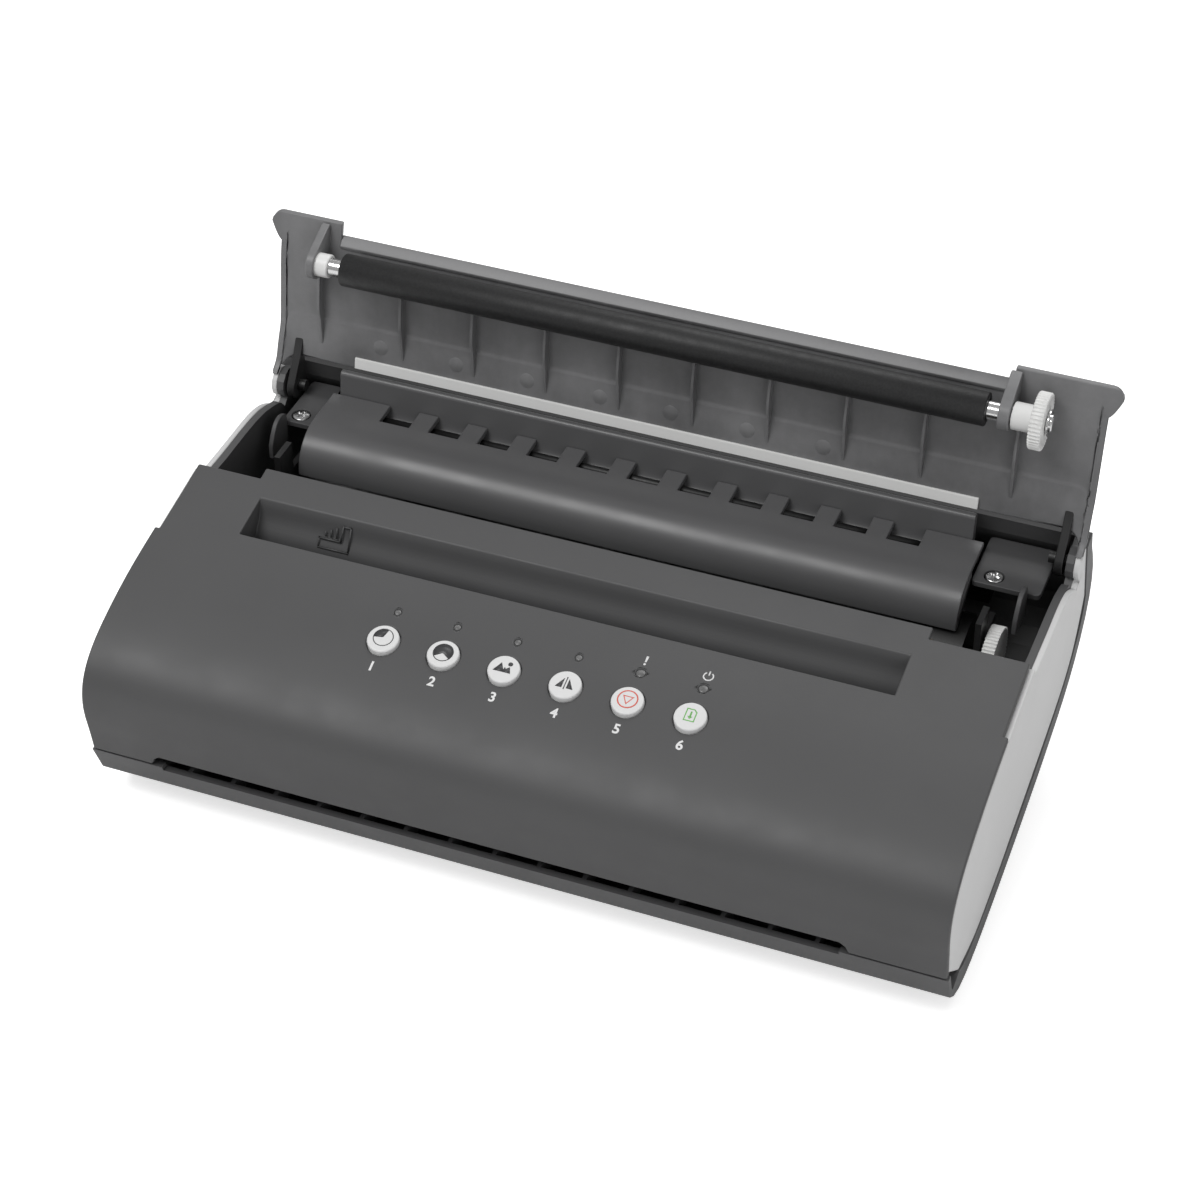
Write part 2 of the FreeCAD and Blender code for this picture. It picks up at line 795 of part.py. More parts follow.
def head_heatsink():
    x0, x1 = mech_x - paper_half_width, mech_x + paper_half_width
    top = head_top() - head_thick
    sink = box(x0, x1, head_front, head_rear, top - sink_high, top)
    tabs = box(plate_left + plate_thick, plate_right, (head_front + head_rear) / 2,
               head_rear, top - sink_high, top - sink_high / 2)
    return sink.fuse(tabs)


def scan_sensor():
    x0, x1 = mech_x - paper_half_width, mech_x + paper_half_width
    top = scan_centre[1] - roll_radius - joint_gap
    body = box(x0, x1, scan_centre[0] - sensor_wide / 2, scan_centre[0] + sensor_wide / 2, top - sensor_high, top)
    ledge = box(plate_left + plate_thick, plate_right, scan_centre[0] - sensor_wide / 2, scan_centre[0],
                top - sensor_high, top - sensor_high / 2)
    return body.fuse(ledge)


def main_board():
    z = pan_bottom + wall + board_high
    board = box(mech_x - paper_half_width / 2, mech_x + paper_half_width / 2, board_front, board_rear,
                z, z + board_thick)
    posts = [post(x, y, pan_bottom + wall, z, post_radius / 2)
             for x in (mech_x - paper_half_width / 2 + wall * 2, mech_x + paper_half_width / 2 - wall * 2)
             for y in (board_front + wall * 2, board_rear - wall * 2)]
    return board.fuse(posts)


def key_board():
    half = key_pitch * key_count / 2
    top = -skin - key_travel - key_flange_thick - 2 * board_thick
    start = vec(key_first_x - key_pitch, key_y, deck_z(key_y))
    board = Part.makeBox(2 * half + key_pitch, lamp_y - key_y + 4 * lamp_big_radius + key_radius, board_thick)
    board.translate(vec(0, -key_radius, top - board_thick))
    board.rotate(vec(0, 0, 0), vec(1, 0, 0), key_slope)
    board.translate(start)
    return board


def lamp_pipes():
    low = -skin - key_travel - key_flange_thick - 2 * board_thick + 2 * joint_gap
    return Part.makeCompound([on_deck(x, lamp_y, low, run_gap * 4, lamp_size(i))
                              for i, x in enumerate(key_xs())])


def key_button(x):
    """One key: a domed cap with a flange under the cover that stops it at the top of its travel."""
    cap = on_deck(x, key_y, -skin - key_flange_thick, key_proud, key_radius)
    cap = cap.makeFillet(key_proud / 2, [edge for edge in cap.Edges
                                         if edge.BoundBox.ZMin > deck_z(key_y) - key_radius * cap_edge_share][:1])
    flange = on_deck(x, key_y, -skin - joint_gap - key_flange_thick, -skin - joint_gap, key_radius + key_flange)
    stem_low = -skin - key_flange_thick - 2 * board_thick + joint_gap
    stem = on_deck(x, key_y, stem_low, -skin - key_flange_thick, key_stem_radius)
    return joined([cap, flange, stem])


def stepper_motor():
    x1 = plate_right - motor_standoff
    body = rod(x1 - motor_long, x1, pinion_centre[0], pinion_centre[1], motor_radius)
    boss = rod(x1, plate_right, pinion_centre[0], pinion_centre[1], motor_boss_radius)
    return body.fuse(boss).cut(rod(x1 - motor_long / 2, plate_right + overrun, pinion_centre[0],
                                   pinion_centre[1], axle_radius + run_gap))


def motor_pinion():
    phase = meshed_phase(drive_teeth, 0.0, pinion_teeth, pinion_angle)
    gear = spur(pinion_teeth, gear_left, gear_right, pinion_centre, phase, axle_radius / 2)
    return gear.fuse(rod(plate_right - motor_standoff, gear_right + wall / 2, pinion_centre[0], pinion_centre[1],
                         axle_radius))


def drive_gear():
    return spur(drive_teeth, gear_left, gear_right, drive_centre, 0.0, axle_radius + run_gap)


def idler_gear():
    phase = meshed_phase(drive_teeth, 0.0, idler_teeth, train_angle)
    return spur(idler_teeth, gear_left, gear_right, idler_centre, phase, axle_radius + run_gap)


def idler2_gear():
    phase = meshed_phase(drive_teeth, 0.0, idler_teeth, train_angle)
    phase2 = meshed_phase(idler_teeth, phase, idler_teeth, train_angle)
    return spur(idler_teeth, gear_left, gear_right, idler2_centre, phase2, axle_radius + run_gap)


def scan_gear():
    phase = meshed_phase(drive_teeth, 0.0, idler_teeth, train_angle)
    phase2 = meshed_phase(idler_teeth, phase, idler_teeth, train_angle)
    phase3 = meshed_phase(idler_teeth, phase2, scan_teeth, train_angle)
    return spur(scan_teeth, gear_left, gear_right, scan_centre, phase3, shaft_radius)


def scan_shaft():
    return rod(plate_left - wall, gear_right + wall / 2, scan_centre[0], scan_centre[1], shaft_radius)


def scan_roller():
    roll = rod(mech_x - paper_half_width, mech_x + paper_half_width, scan_centre[0], scan_centre[1], roll_radius)
    return roll.cut(rod(-body_half_width, body_half_width, scan_centre[0], scan_centre[1], shaft_radius))


def gear_clips():
    clips = []
    for centre in (drive_centre, idler_centre, idler2_centre):
        ring = rod(gear_right + part_gap, gear_right + part_gap + clip_thick, centre[0], centre[1], 2 * axle_radius)
        clips.append(ring.cut(rod(gear_right, gear_right + overrun, centre[0], centre[1], axle_radius)))
    return Part.makeCompound(clips)


def hinge_pins():
    pins = []
    for sign in (-1, 1):
        x0, x1 = sorted((sign * (arm_in - wall), sign * (body_half_width - wall)))
        pins.append(rod(x0, x1, hinge_y, hinge_z, hinge_pin_radius))
    return Part.makeCompound(pins)


def lid_inner():
    return pushed(lid_back, skin)


def rear_lid():
    inner = lid_inner()
    plate = prism(lid_back + inner[::-1], -lid_half_width, lid_half_width)
    parts = [plate]
    for sign in (-1, 1):
        x0, x1 = sorted((sign * (lid_half_width - lid_flange), sign * lid_half_width))
        parts.append(prism(lid_edge + lid_back[::-1], x0, x1))
        a0, a1 = sorted((sign * arm_in, sign * arm_out))
        arm = prism([away((hinge_y, hinge_z), hinge_boss, 165), away((hinge_y, hinge_z), hinge_boss, -15),
                     lid_back[0], lid_back[1], inner[2]], a0, a1)
        parts.append(arm.fuse(rod(a0, a1, hinge_y, hinge_z, hinge_boss)))
    parts += lid_ears() + lid_ribs() + platen_brackets()
    lip = box(ear_left, ear_right, lid_back[-1][0] - lip_deep, lid_back[-1][0], lid_back[-1][1] - lip_thick,
              lid_back[-1][1])
    parts.append(lip)
    lid = joined(parts)
    cuts = [rod(-body_half_width, body_half_width, hinge_y, hinge_z, hinge_pin_radius + run_gap),
            rod(bush_left - overrun, bush_right + overrun, platen_y, platen_z, bush_radius),
            rod(arm_left - overrun, arm_right + overrun, platen_y, platen_z, shaft_radius + run_gap),
            rod(gear_left - 2 * part_gap, clip_left + 4 * part_gap, platen_y, platen_z,
                pitch_radius(platen_teeth) + tip_share * module + part_gap)]
    return lid.cut(cuts)


def lid_ears():
    ears = [box(-lid_half_width, ear_left, ear_front, ear_back, ear_low, ear_top),
            box(ear_right, lid_half_width, ear_front, ear_back, ear_low, ear_top)]
    for sign in (-1, 1):
        x0, x1 = sorted((sign * (lid_half_width - lid_flange), sign * tab_half_width))
        ears.append(box(x0, x1, ear_front, ear_back, tab_low, ear_top))
    return ears


def lid_ribs():
    """Stiffening webs behind the roller, deepest just under it."""
    inner = lid_inner()
    back = [(y + skin / 2, z) for y, z in inner[1:6]]
    front = [(inner[1][0], inner[1][1]), (inner[3][0] - lid_rib_deep, inner[3][1]),
             (inner[4][0] - lid_rib_deep, inner[4][1] + skin), (inner[5][0] - skin / 2, inner[5][1] - skin)]
    return [prism(front + back[::-1], lid_rib_first + lid_rib_pitch * i, lid_rib_first + lid_rib_pitch * i + lid_rib)
            for i in range(lid_rib_count)]


def platen_brackets():
    brackets = []
    for x0, x1 in ((bush_arm_left, bush_arm_right), (arm_left, arm_right)):
        low = platen_z - bracket_reach - part_gap
        high = platen_z + bracket_reach + part_gap
        block = box(x0, x1, platen_y, ear_front + skin, low, high)
        brackets.append(block.fuse(rod(x0, x1, platen_y, platen_z, bracket_reach)))
    return brackets


def platen_bush():
    bush = rod(bush_left, bush_right, platen_y, platen_z, bush_radius)
    return bush.cut(rod(bush_left, bush_right, platen_y, platen_z, shaft_radius + run_gap))


def lid_strip():
    inner = lid_inner()
    y, z = inner[0]
    line = [(y, z + part_gap), (y + strip_high * (inner[1][0] - y) / (inner[1][1] - z), z + part_gap + strip_high)]
    front = [(p[0] - strip_thick, p[1]) for p in line]
    return prism(line + front[::-1], bar_left + 2 * wall, bar_right)


def platen_shaft():
    return rod(shaft_left, shaft_right, platen_y, platen_z, shaft_radius)


def platen_rubber():
    roll = rod(rubber_left, rubber_right, platen_y, platen_z, rubber_radius)
    return roll.cut(rod(rubber_left, rubber_right, platen_y, platen_z, shaft_radius))


def platen_gear():
    closed = meshed_phase(drive_teeth, 0.0, platen_teeth, drive_angle + 180)
    gear = spur(platen_teeth, gear_left, gear_right, platen_centre, closed - close_angle, shaft_radius)
    hub = rod(arm_right + part_gap, gear_left, platen_y, platen_z, hub_radius)
    return gear.fuse(hub.cut(rod(arm_right, gear_left, platen_y, platen_z, shaft_radius)))


def platen_clip():
    ring = rod(clip_left, clip_left + clip_thick, platen_y, platen_z, clip_radius)
    return ring.cut(rod(clip_left, clip_left + clip_thick, platen_y, platen_z, shaft_radius))


def build():
    os.makedirs("parts", exist_ok=True)
    nodes = {
        "base_shell": base_shell(), "top_cover": top_cover(), "side_panel_left": side_panel(-1),
        "side_panel_right": side_panel(1), "rubber_feet": rubber_feet(), "frame_plate_left": frame_left(),
        "frame_plate_right": frame_right(), "floor_plate_left": floor_left(), "floor_plate_right": floor_right(),
        "floor_screws": floor_screws(), "paper_guide": paper_guide(), "guide_shaft": guide_shaft(),
        "rear_guide_bar": rear_guide_bar(), "thermal_head": thermal_head(), "head_heatsink": head_heatsink(),
        "scan_sensor": scan_sensor(), "main_board": main_board(), "key_board": key_board(),
        "lamp_pipes": lamp_pipes(), "stepper_motor": stepper_motor(), "motor_pinion": motor_pinion(),
        "drive_gear": drive_gear(), "idler_gear_rear": idler_gear(), "idler_gear_front": idler2_gear(),
        "scan_gear": scan_gear(), "scan_shaft": scan_shaft(), "scan_roller": scan_roller(),
        "gear_clips": gear_clips(), "hinge_pins": hinge_pins(), "rear_lid": rear_lid(),
        "platen_bush": platen_bush(), "lid_strip": lid_strip(), "platen_shaft": platen_shaft(),
        "platen_rubber": platen_rubber(), "platen_gear": platen_gear(), "platen_clip": platen_clip(),
        "latch_arms": latch_arms(), "dc_jack": dc_jack(), "usb_port": usb_port(), "switch_frame": switch_frame(),
        "switch_rocker": switch_rocker(),
    }
    for i, x in enumerate(key_xs()):
        nodes["key_%d" % (i + 1)] = key_button(x)
    for name, shape in nodes.items():
        shape.exportStep("parts/%s.step" % name)
        print(name, len(shape.Solids), round(shape.Volume), shape.isValid())
    print("platen closed", platen_closed, "drive", drive_centre, "pinion", pinion_centre)
    print("idlers", idler_centre, idler2_centre, "scan", scan_centre, "key slope", key_slope)


build()
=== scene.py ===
import bmesh
import bpy
import json
import math
import numpy as np
from mathutils import Matrix, Vector


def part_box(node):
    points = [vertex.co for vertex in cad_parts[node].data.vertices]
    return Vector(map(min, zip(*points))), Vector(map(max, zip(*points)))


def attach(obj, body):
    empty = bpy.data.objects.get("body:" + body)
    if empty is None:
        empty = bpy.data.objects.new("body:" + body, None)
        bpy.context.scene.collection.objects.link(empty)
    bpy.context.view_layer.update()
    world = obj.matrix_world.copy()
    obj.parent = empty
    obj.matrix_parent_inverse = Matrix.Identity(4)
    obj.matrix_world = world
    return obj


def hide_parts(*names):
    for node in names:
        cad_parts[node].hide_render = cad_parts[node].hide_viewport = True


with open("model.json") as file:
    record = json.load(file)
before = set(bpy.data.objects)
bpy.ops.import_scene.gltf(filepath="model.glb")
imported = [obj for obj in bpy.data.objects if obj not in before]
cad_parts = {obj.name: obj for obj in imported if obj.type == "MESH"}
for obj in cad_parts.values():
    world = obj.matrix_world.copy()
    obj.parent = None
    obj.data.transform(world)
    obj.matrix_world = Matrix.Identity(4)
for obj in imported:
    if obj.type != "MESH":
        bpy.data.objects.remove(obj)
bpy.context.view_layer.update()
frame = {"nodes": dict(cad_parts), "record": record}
scene = bpy.context.scene
scene.view_settings.view_transform = "Standard"
nodeSlot = {row["node"]: row["material_slot"] for row in frame["record"]["subparts"]}
mm = 0.001  # lengths below are in millimetres
edges = dict(steps=3, angle=34.0)
print("frame loaded:", len(frame["nodes"]), "nodes")


def addObject(name, data):
    obj = bpy.data.objects.new(name, data)
    scene.collection.objects.link(obj)
    return obj


def makeCamera():
    # the picture's viewpoint: the three columns are right, up and back
    view = dict(place=(0.2683, -0.6946, 0.6806), lens=90.9, sensor=36.0, near=0.05,
                right=(0.9335, 0.3585, 0.0), up=(-0.2280, 0.5937, 0.7717))
    right = Vector(view["right"]).normalized()
    back = right.cross(Vector(view["up"])).normalized()
    up = back.cross(right)
    data = bpy.data.cameras.new("pictureCamera")
    data.lens = view["lens"]
    data.sensor_width = view["sensor"]
    data.clip_start = view["near"]
    turn = Matrix((right, up, back)).transposed().to_4x4()
    scene.camera = addObject("pictureCamera", data)
    scene.camera.matrix_world = Matrix.Translation(Vector(view["place"])) @ turn


def softLamp(name, place, target, size, watts):
    data = bpy.data.lights.new(name, "AREA")
    data.shape = "RECTANGLE"
    data.size, data.size_y = size
    data.energy = watts
    turn = (Vector(target) - Vector(place)).to_track_quat("-Z", "Y").to_matrix().to_4x4()
    addObject(name, data).matrix_world = Matrix.Translation(Vector(place)) @ turn


def whiteWhereSeen(nt, low, high):
    # strength is high for rays from the eye or through glass, and low for the light on the object
    path = nt.nodes.new("ShaderNodeLightPath")
    seen = nt.nodes.new("ShaderNodeMath")
    seen.operation = "MAXIMUM"
    nt.links.new(path.outputs["Is Camera Ray"], seen.inputs[0])
    nt.links.new(path.outputs["Is Transmission Ray"], seen.inputs[1])
    level = nt.nodes.new("ShaderNodeMapRange")
    level.inputs["To Min"].default_value = low
    level.inputs["To Max"].default_value = high
    nt.links.new(seen.outputs[0], level.inputs["Value"])
    return level.outputs["Result"]


def makeLight():
    # each lamp has a name, a place, a target, a size and its watts
    studio = dict(sky=0.36, lamps=(("keyLamp", (-0.55, -0.75, 1.55), (0, 0, 0.05), (0.9, 0.7), 13.0),
                                   ("fillLamp", (1.3, -1.0, 0.7), (0, 0, 0.05), (1.0, 1.0), 3.2),
                                   ("backLamp", (0.1, 1.2, 1.35), (0, 0, 0.08), (1.6, 0.7), 10.0)))
    for lamp in studio["lamps"]:
        softLamp(*lamp)
    world = bpy.data.worlds.new("studio")
    scene.world = world
    world.use_nodes = True
    nt = world.node_tree
    nt.nodes.clear()
    out = nt.nodes.new("ShaderNodeOutputWorld")
    sky = nt.nodes.new("ShaderNodeBackground")
    sky.inputs["Color"].default_value = (1, 1, 1, 1)
    nt.links.new(whiteWhereSeen(nt, studio["sky"], 1.0), sky.inputs["Strength"])
    nt.links.new(sky.outputs[0], out.inputs["Surface"])


def socket(bsdf, **values):
    for key, value in values.items():
        bsdf.inputs[key.replace("_", " ")].default_value = value


class Finish:
    # one principled shader, with helpers for its noise, ramps and bump
    def __init__(self, name):
        self.mat = bpy.data.materials.new(name)
        self.mat.use_nodes = True
        self.nt = self.mat.node_tree
        self.bsdf = self.nt.nodes["Principled BSDF"]
        self.place = self.nt.nodes.new("ShaderNodeTexCoord").outputs["Object"]

    def add(self, kind, **inputs):
        node = self.nt.nodes.new(kind)
        for key, value in inputs.items():
            node.inputs[key].default_value = value
        return node

    def link(self, a, b):
        self.nt.links.new(a, b)

    def stretched(self, scale):
        node = self.add("ShaderNodeMapping", Scale=scale)
        self.link(self.place, node.inputs["Vector"])
        return node.outputs["Vector"]

    def noise(self, scale, detail=3.0, rough=0.55, where=None):
        node = self.add("ShaderNodeTexNoise", Scale=scale, Detail=detail, Roughness=rough)
        self.link(where or self.place, node.inputs["Vector"])
        return node.outputs["Fac"]

    def remap(self, value, low, high, toLow, toHigh):
        node = self.add("ShaderNodeMapRange")
        for key, v in (("From Min", low), ("From Max", high), ("To Min", toLow), ("To Max", toHigh)):
            node.inputs[key].default_value = v
        self.link(value, node.inputs["Value"])
        return node.outputs["Result"]

    def ramp(self, value, stops):
        node = self.nt.nodes.new("ShaderNodeValToRGB")
        line = node.color_ramp
        for i, (at, colour) in enumerate(stops):
            stop = line.elements[i] if i < 2 else line.elements.new(at)
            stop.position = at
            stop.color = (*colour, 1)
        self.link(value, node.inputs["Fac"])
        return node.outputs["Color"]

    def bump(self, value, strength, distance):
        node = self.add("ShaderNodeBump", Strength=strength, Distance=distance)
        self.link(value, node.inputs["Height"])
        self.link(node.outputs["Normal"], self.bsdf.inputs["Normal"])


def mouldedPlastic(name, colour, rough=0.5, grain=0.00004, marks=0.12, depth=0.5):
    # fine spark-eroded grain, slow cloudy change of tone and of gloss
    f = Finish(name)
    dark = tuple(c * (1 - marks) for c in colour)
    light = tuple(c * (1 + marks) for c in colour)
    f.link(f.ramp(f.noise(14, 5), ((0.3, dark), (0.7, light))), f.bsdf.inputs["Base Color"])
    f.link(f.remap(f.noise(60, 4), 0.3, 0.7, rough - 0.05, rough + 0.05), f.bsdf.inputs["Roughness"])
    f.bump(f.noise(2600, 2), depth, grain)
    return f.mat


def flowedPlastic(name, colour, rough):
    # semi-gloss inner side of a moulding: long upright flow streaks and swirls in tone and gloss
    f = Finish(name)
    streak = f.noise(1, 5, 0.6, f.stretched((30, 30, 5)))
    swirl = f.noise(38, 6, 0.7)
    dark = tuple(c * 0.8 for c in colour)
    light = tuple(c * 1.35 for c in colour)
    both = f.add("ShaderNodeMix")
    both.inputs["Factor"].default_value = 0.45
    f.link(streak, both.inputs["A"])
    f.link(swirl, both.inputs["B"])
    mixed = both.outputs["Result"]
    f.link(f.ramp(mixed, ((0.36, dark), (0.64, light))), f.bsdf.inputs["Base Color"])
    f.link(f.remap(mixed, 0.35, 0.65, rough - 0.08, rough + 0.08), f.bsdf.inputs["Roughness"])
    f.bump(f.noise(900, 2), 0.2, 0.00003)
    return f.mat


def groundRubber(name, colour, gloss=0.5):
    # ground rubber: fine pits, and a faint sheen round the roller
    f = Finish(name)
    dark = tuple(c * 0.6 for c in colour)
    light = tuple(c * 1.6 for c in colour)
    f.link(f.ramp(f.noise(1500, 4), ((0.35, dark), (0.75, light))), f.bsdf.inputs["Base Color"])
    f.link(f.remap(f.noise(300, 3), 0.3, 0.7, gloss - 0.06, gloss + 0.06), f.bsdf.inputs["Roughness"])
    f.bump(f.noise(3200, 3), 0.4, 0.00005)
    return f.mat


def groundSteel(name, rough=0.16, tone=0.72, along=(4000, 90, 90)):
    # turned or ground metal: streaks across the shaft's length change its gloss
    f = Finish(name)
    socket(f.bsdf, Metallic=1.0)
    low, high = (tone * 0.88,) * 3, (min(tone * 1.1, 1),) * 3
    f.link(f.ramp(f.noise(40, 3), ((0.3, low), (0.7, high))), f.bsdf.inputs["Base Color"])
    streaks = f.noise(1, 4, 0.6, f.stretched(along))
    f.link(f.remap(streaks, 0.3, 0.7, rough - 0.06, rough + 0.08), f.bsdf.inputs["Roughness"])
    f.bump(streaks, 0.15, 0.00001)
    return f.mat


def circuitBoard(name):
    # solder mask over copper: tracks show as a paler green
    f = Finish(name)
    f.link(f.ramp(f.noise(220, 2), ((0.45, (0.012, 0.10, 0.04)), (0.5, (0.02, 0.16, 0.07)))),
           f.bsdf.inputs["Base Color"])
    socket(f.bsdf, Roughness=0.35)
    f.bump(f.noise(500, 2), 0.3, 0.00005)
    return f.mat


def smokedLamp(name):
    # frosted grey pipe end with a paler cloudy middle
    f = Finish(name)
    f.link(f.ramp(f.noise(900, 3), ((0.35, (0.12, 0.12, 0.12)), (0.7, (0.22, 0.22, 0.22)))),
           f.bsdf.inputs["Base Color"])
    socket(f.bsdf, Roughness=0.3)
    return f.mat


def printInk(name, colour, rough=0.4):
    # thin screen-printed ink with a little mottle
    f = Finish(name)
    dark = tuple(c * 0.92 for c in colour)
    f.link(f.ramp(f.noise(1800, 2), ((0.3, dark), (0.6, colour))), f.bsdf.inputs["Base Color"])
    socket(f.bsdf, Roughness=rough)
    return f.mat


def makeFinishes():
    grey = dict(cover=0.080, rim=0.088, inner=0.165, guide=0.118, frame=0.020)
    same = {key: (v, v, v * 1.02) for key, v in grey.items()}
    return {
        "case_grey": mouldedPlastic("caseGrey", same["cover"], 0.50, marks=0.05),
        "case_black": mouldedPlastic("caseBlack", same["rim"], 0.48, marks=0.05),
        "panel_light": mouldedPlastic("panelLight", (0.72, 0.72, 0.72), 0.5, marks=0.03),
        "frame_black": mouldedPlastic("frameBlack", same["frame"], 0.42),
        "foot_rubber": groundRubber("footRubber", (0.02, 0.02, 0.02), 0.75),
        "roller_rubber": groundRubber("rollerRubber", (0.011, 0.011, 0.0115), 0.5),
        "white_plastic": mouldedPlastic("whitePlastic", (0.86, 0.86, 0.85), 0.38, marks=0.03),
        "key_white": mouldedPlastic("keyWhite", (0.80, 0.80, 0.80), 0.38, marks=0.02, grain=0.00001),
        "steel": groundSteel("rollerSteel", 0.14, 0.78),
        "screw_steel": groundSteel("screwSteel", 0.24, 0.70, (300, 300, 300)),
        "aluminium": groundSteel("sinkAluminium", 0.45, 0.09),
        "ceramic": mouldedPlastic("headCeramic", (0.10, 0.085, 0.07), 0.65),
        "sensor_black": mouldedPlastic("sensorBlack", (0.02, 0.02, 0.022), 0.2),
        "board_green": circuitBoard("boardGreen"),
        "lamp_clear": smokedLamp("lampSmoked"),
        "motor_steel": groundSteel("motorSteel", 0.5, 0.07),
        "lid_inside": flowedPlastic("lidInside", same["inner"], 0.36),
        "guide_satin": mouldedPlastic("guideSatin", same["guide"], 0.34, marks=0.05, depth=0.25),
        "shaft_dull": groundSteel("shaftDull", 0.5, 0.06),
        "ink_dark": printInk("inkDark", (0.055, 0.055, 0.058)),
        "ink_white": printInk("inkWhite", (0.86, 0.86, 0.86)),
        "ink_red": printInk("inkRed", (0.80, 0.16, 0.12)),
        "ink_green": printInk("inkGreen", (0.20, 0.55, 0.14)),
    }


def dressFrame():
    for name, obj in frame["nodes"].items():
        obj.data.materials.clear()
        obj.data.materials.append(finishes["shaft_dull" if name == "hinge_pins" else nodeSlot[name]])


def makeFloor():
    # a level sheet that looks white from every side and still takes the object's shadow
    stage = dict(half=6.0, paint=0.93, shade=0.62)
    mesh = bpy.data.meshes.new("floor")
    h = stage["half"]
    mesh.from_pydata([(-h, -h, 0), (h, -h, 0), (h, h, 0), (-h, h, 0)], [], [(0, 1, 2, 3)])
    floor = addObject("floor", mesh)
    f = Finish("paleFloor")
    socket(f.bsdf, Base_Color=(stage["paint"],) * 3 + (1,), Roughness=0.9, Specular_IOR_Level=0.0,
           Emission_Color=(1, 1, 1, 1))
    f.link(whiteWhereSeen(f.nt, 0.0, stage["shade"]), f.bsdf.inputs["Emission Strength"])
    mesh.materials.append(f.mat)


def chordSums(p):
    # the length of the broken line up to each of its points
    return np.concatenate([[0.0], np.cumsum(np.linalg.norm(np.diff(p, axis=0), axis=1))])


def smoothLine(knots, count):
    # natural cubic through the knots, on the length of its chords; the bends come from one linear system
    p = np.array(knots, float)
    t = chordSums(p)
    h = np.diff(t)
    n = len(t)
    system = np.eye(n)
    right = np.zeros_like(p)
    i = np.arange(1, n - 1)
    system[i, i - 1], system[i, i], system[i, i + 1] = h[:-1], 2 * (h[:-1] + h[1:]), h[1:]
    slope = np.diff(p, axis=0) / h[:, None]
    right[1:-1] = 6 * np.diff(slope, axis=0)
    bend = np.linalg.solve(system, right)
    s = np.linspace(0, t[-1], count)
    j = np.clip(np.searchsorted(t, s, side="right") - 1, 0, n - 2)
    a = ((t[j + 1] - s) / h[j])[:, None]
    b = ((s - t[j]) / h[j])[:, None]
    bow = (a ** 3 - a) * bend[j] + (b ** 3 - b) * bend[j + 1]
    return a * p[j] + b * p[j + 1] + bow * (h[j] ** 2 / 6)[:, None]


def sideways(line, distance):
    # the line moved to its left by a distance, along the normal at each point
    slope = np.gradient(line, axis=0)
    slope /= np.linalg.norm(slope, axis=1)[:, None]
    return line + distance * np.stack([-slope[:, 1], slope[:, 0]], 1)


def gridFaces(nu, nv, start):
    # each face joins the points (u, v), (u+1, v), (u+1, v+1), (u, v+1)
    u = np.arange(nu - 1)[:, None]
    v = np.arange(nv - 1)[None, :]
    a = u * nv + v
    return start + np.stack([a, a + nv, a + nv + 1, a + 1], -1).reshape(-1, 4)


def surface(name, grids, finish, body, stands=(), wall=0.0, edge=0.0, flip=False, closed=False):
    # grids of points in millimetres, joined where their corners meet; wall thickens the sheet behind its
    # face, edge rounds the sharp ones, and closed turns every face of a whole skin outward
    blocks, faces, start = [], [], 0
    for grid in grids:
        g = np.asarray(grid, float)
        blocks.append(g.reshape(-1, 3))
        faces.append(gridFaces(*g.shape[:2], start))
        start += len(blocks[-1])
    points = np.concatenate(blocks)
    quads = np.concatenate(faces)
    if flip:
        quads = quads[:, ::-1]
    keys, back = np.unique(np.round(points * 2000).astype(np.int64), axis=0, return_inverse=True)
    quads = back.reshape(-1)[quads]
    corners = [list(dict.fromkeys(q)) for q in quads.tolist()]
    mesh = bpy.data.meshes.new(name)
    mesh.from_pydata((keys / 2000 * mm).tolist(), [], [q for q in corners if len(q) > 2])
    mesh.polygons.foreach_set("use_smooth", np.ones(len(mesh.polygons), bool))
    mesh.validate()
    if closed:
        shell = bmesh.new()
        shell.from_mesh(mesh)
        bmesh.ops.recalc_face_normals(shell, faces=shell.faces)
        shell.to_mesh(mesh)
        shell.free()
    mesh.materials.append(finishes[finish])
    piece = addObject(name, mesh)
    if wall:
        thick = piece.modifiers.new("wall", "SOLIDIFY")
        thick.thickness = wall * mm
        thick.offset = -1
        thick.use_even_offset = True
    if edge:
        bevel = piece.modifiers.new("edges", "BEVEL")
        bevel.width = edge * mm
        bevel.segments = edges["steps"]
        bevel.limit_method = "ANGLE"
        bevel.angle_limit = math.radians(edges["angle"])
        bevel.use_clamp_overlap = False
        bevel.harden_normals = True
    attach(piece, body)
    if stands:
        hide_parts(*stands)
    return piece


def acrossX(xs, line):
    # every point of a (y, z) line repeated at each x
    xs, line = np.asarray(xs, float)[:, None], np.asarray(line, float)
    return np.stack(np.broadcast_arrays(xs, line[:, 0], line[:, 1]), -1)


def between(rowA, rowB):
    # straight lines from each point of one row to the same point of the other
    return np.array([rowA, rowB], float)


def aroundX(x, radius, a, y, z):
    # (x, y + r cos a, z + r sin a), the last angle joined to the first
    grid = np.stack(np.broadcast_arrays(x, y + radius * np.cos(a), z + radius * np.sin(a)), -1)
    grid[:, -1] = grid[:, 0]
    return grid


def turnedX(stations, y, z, count):
    # each (x, radius) carried once round the line through (y, z)
    s = np.array(stations, float)
    return aroundX(s[:, :1], s[:, 1:2], np.linspace(0, 2 * np.pi, count + 1), y, z)[:, ::-1]


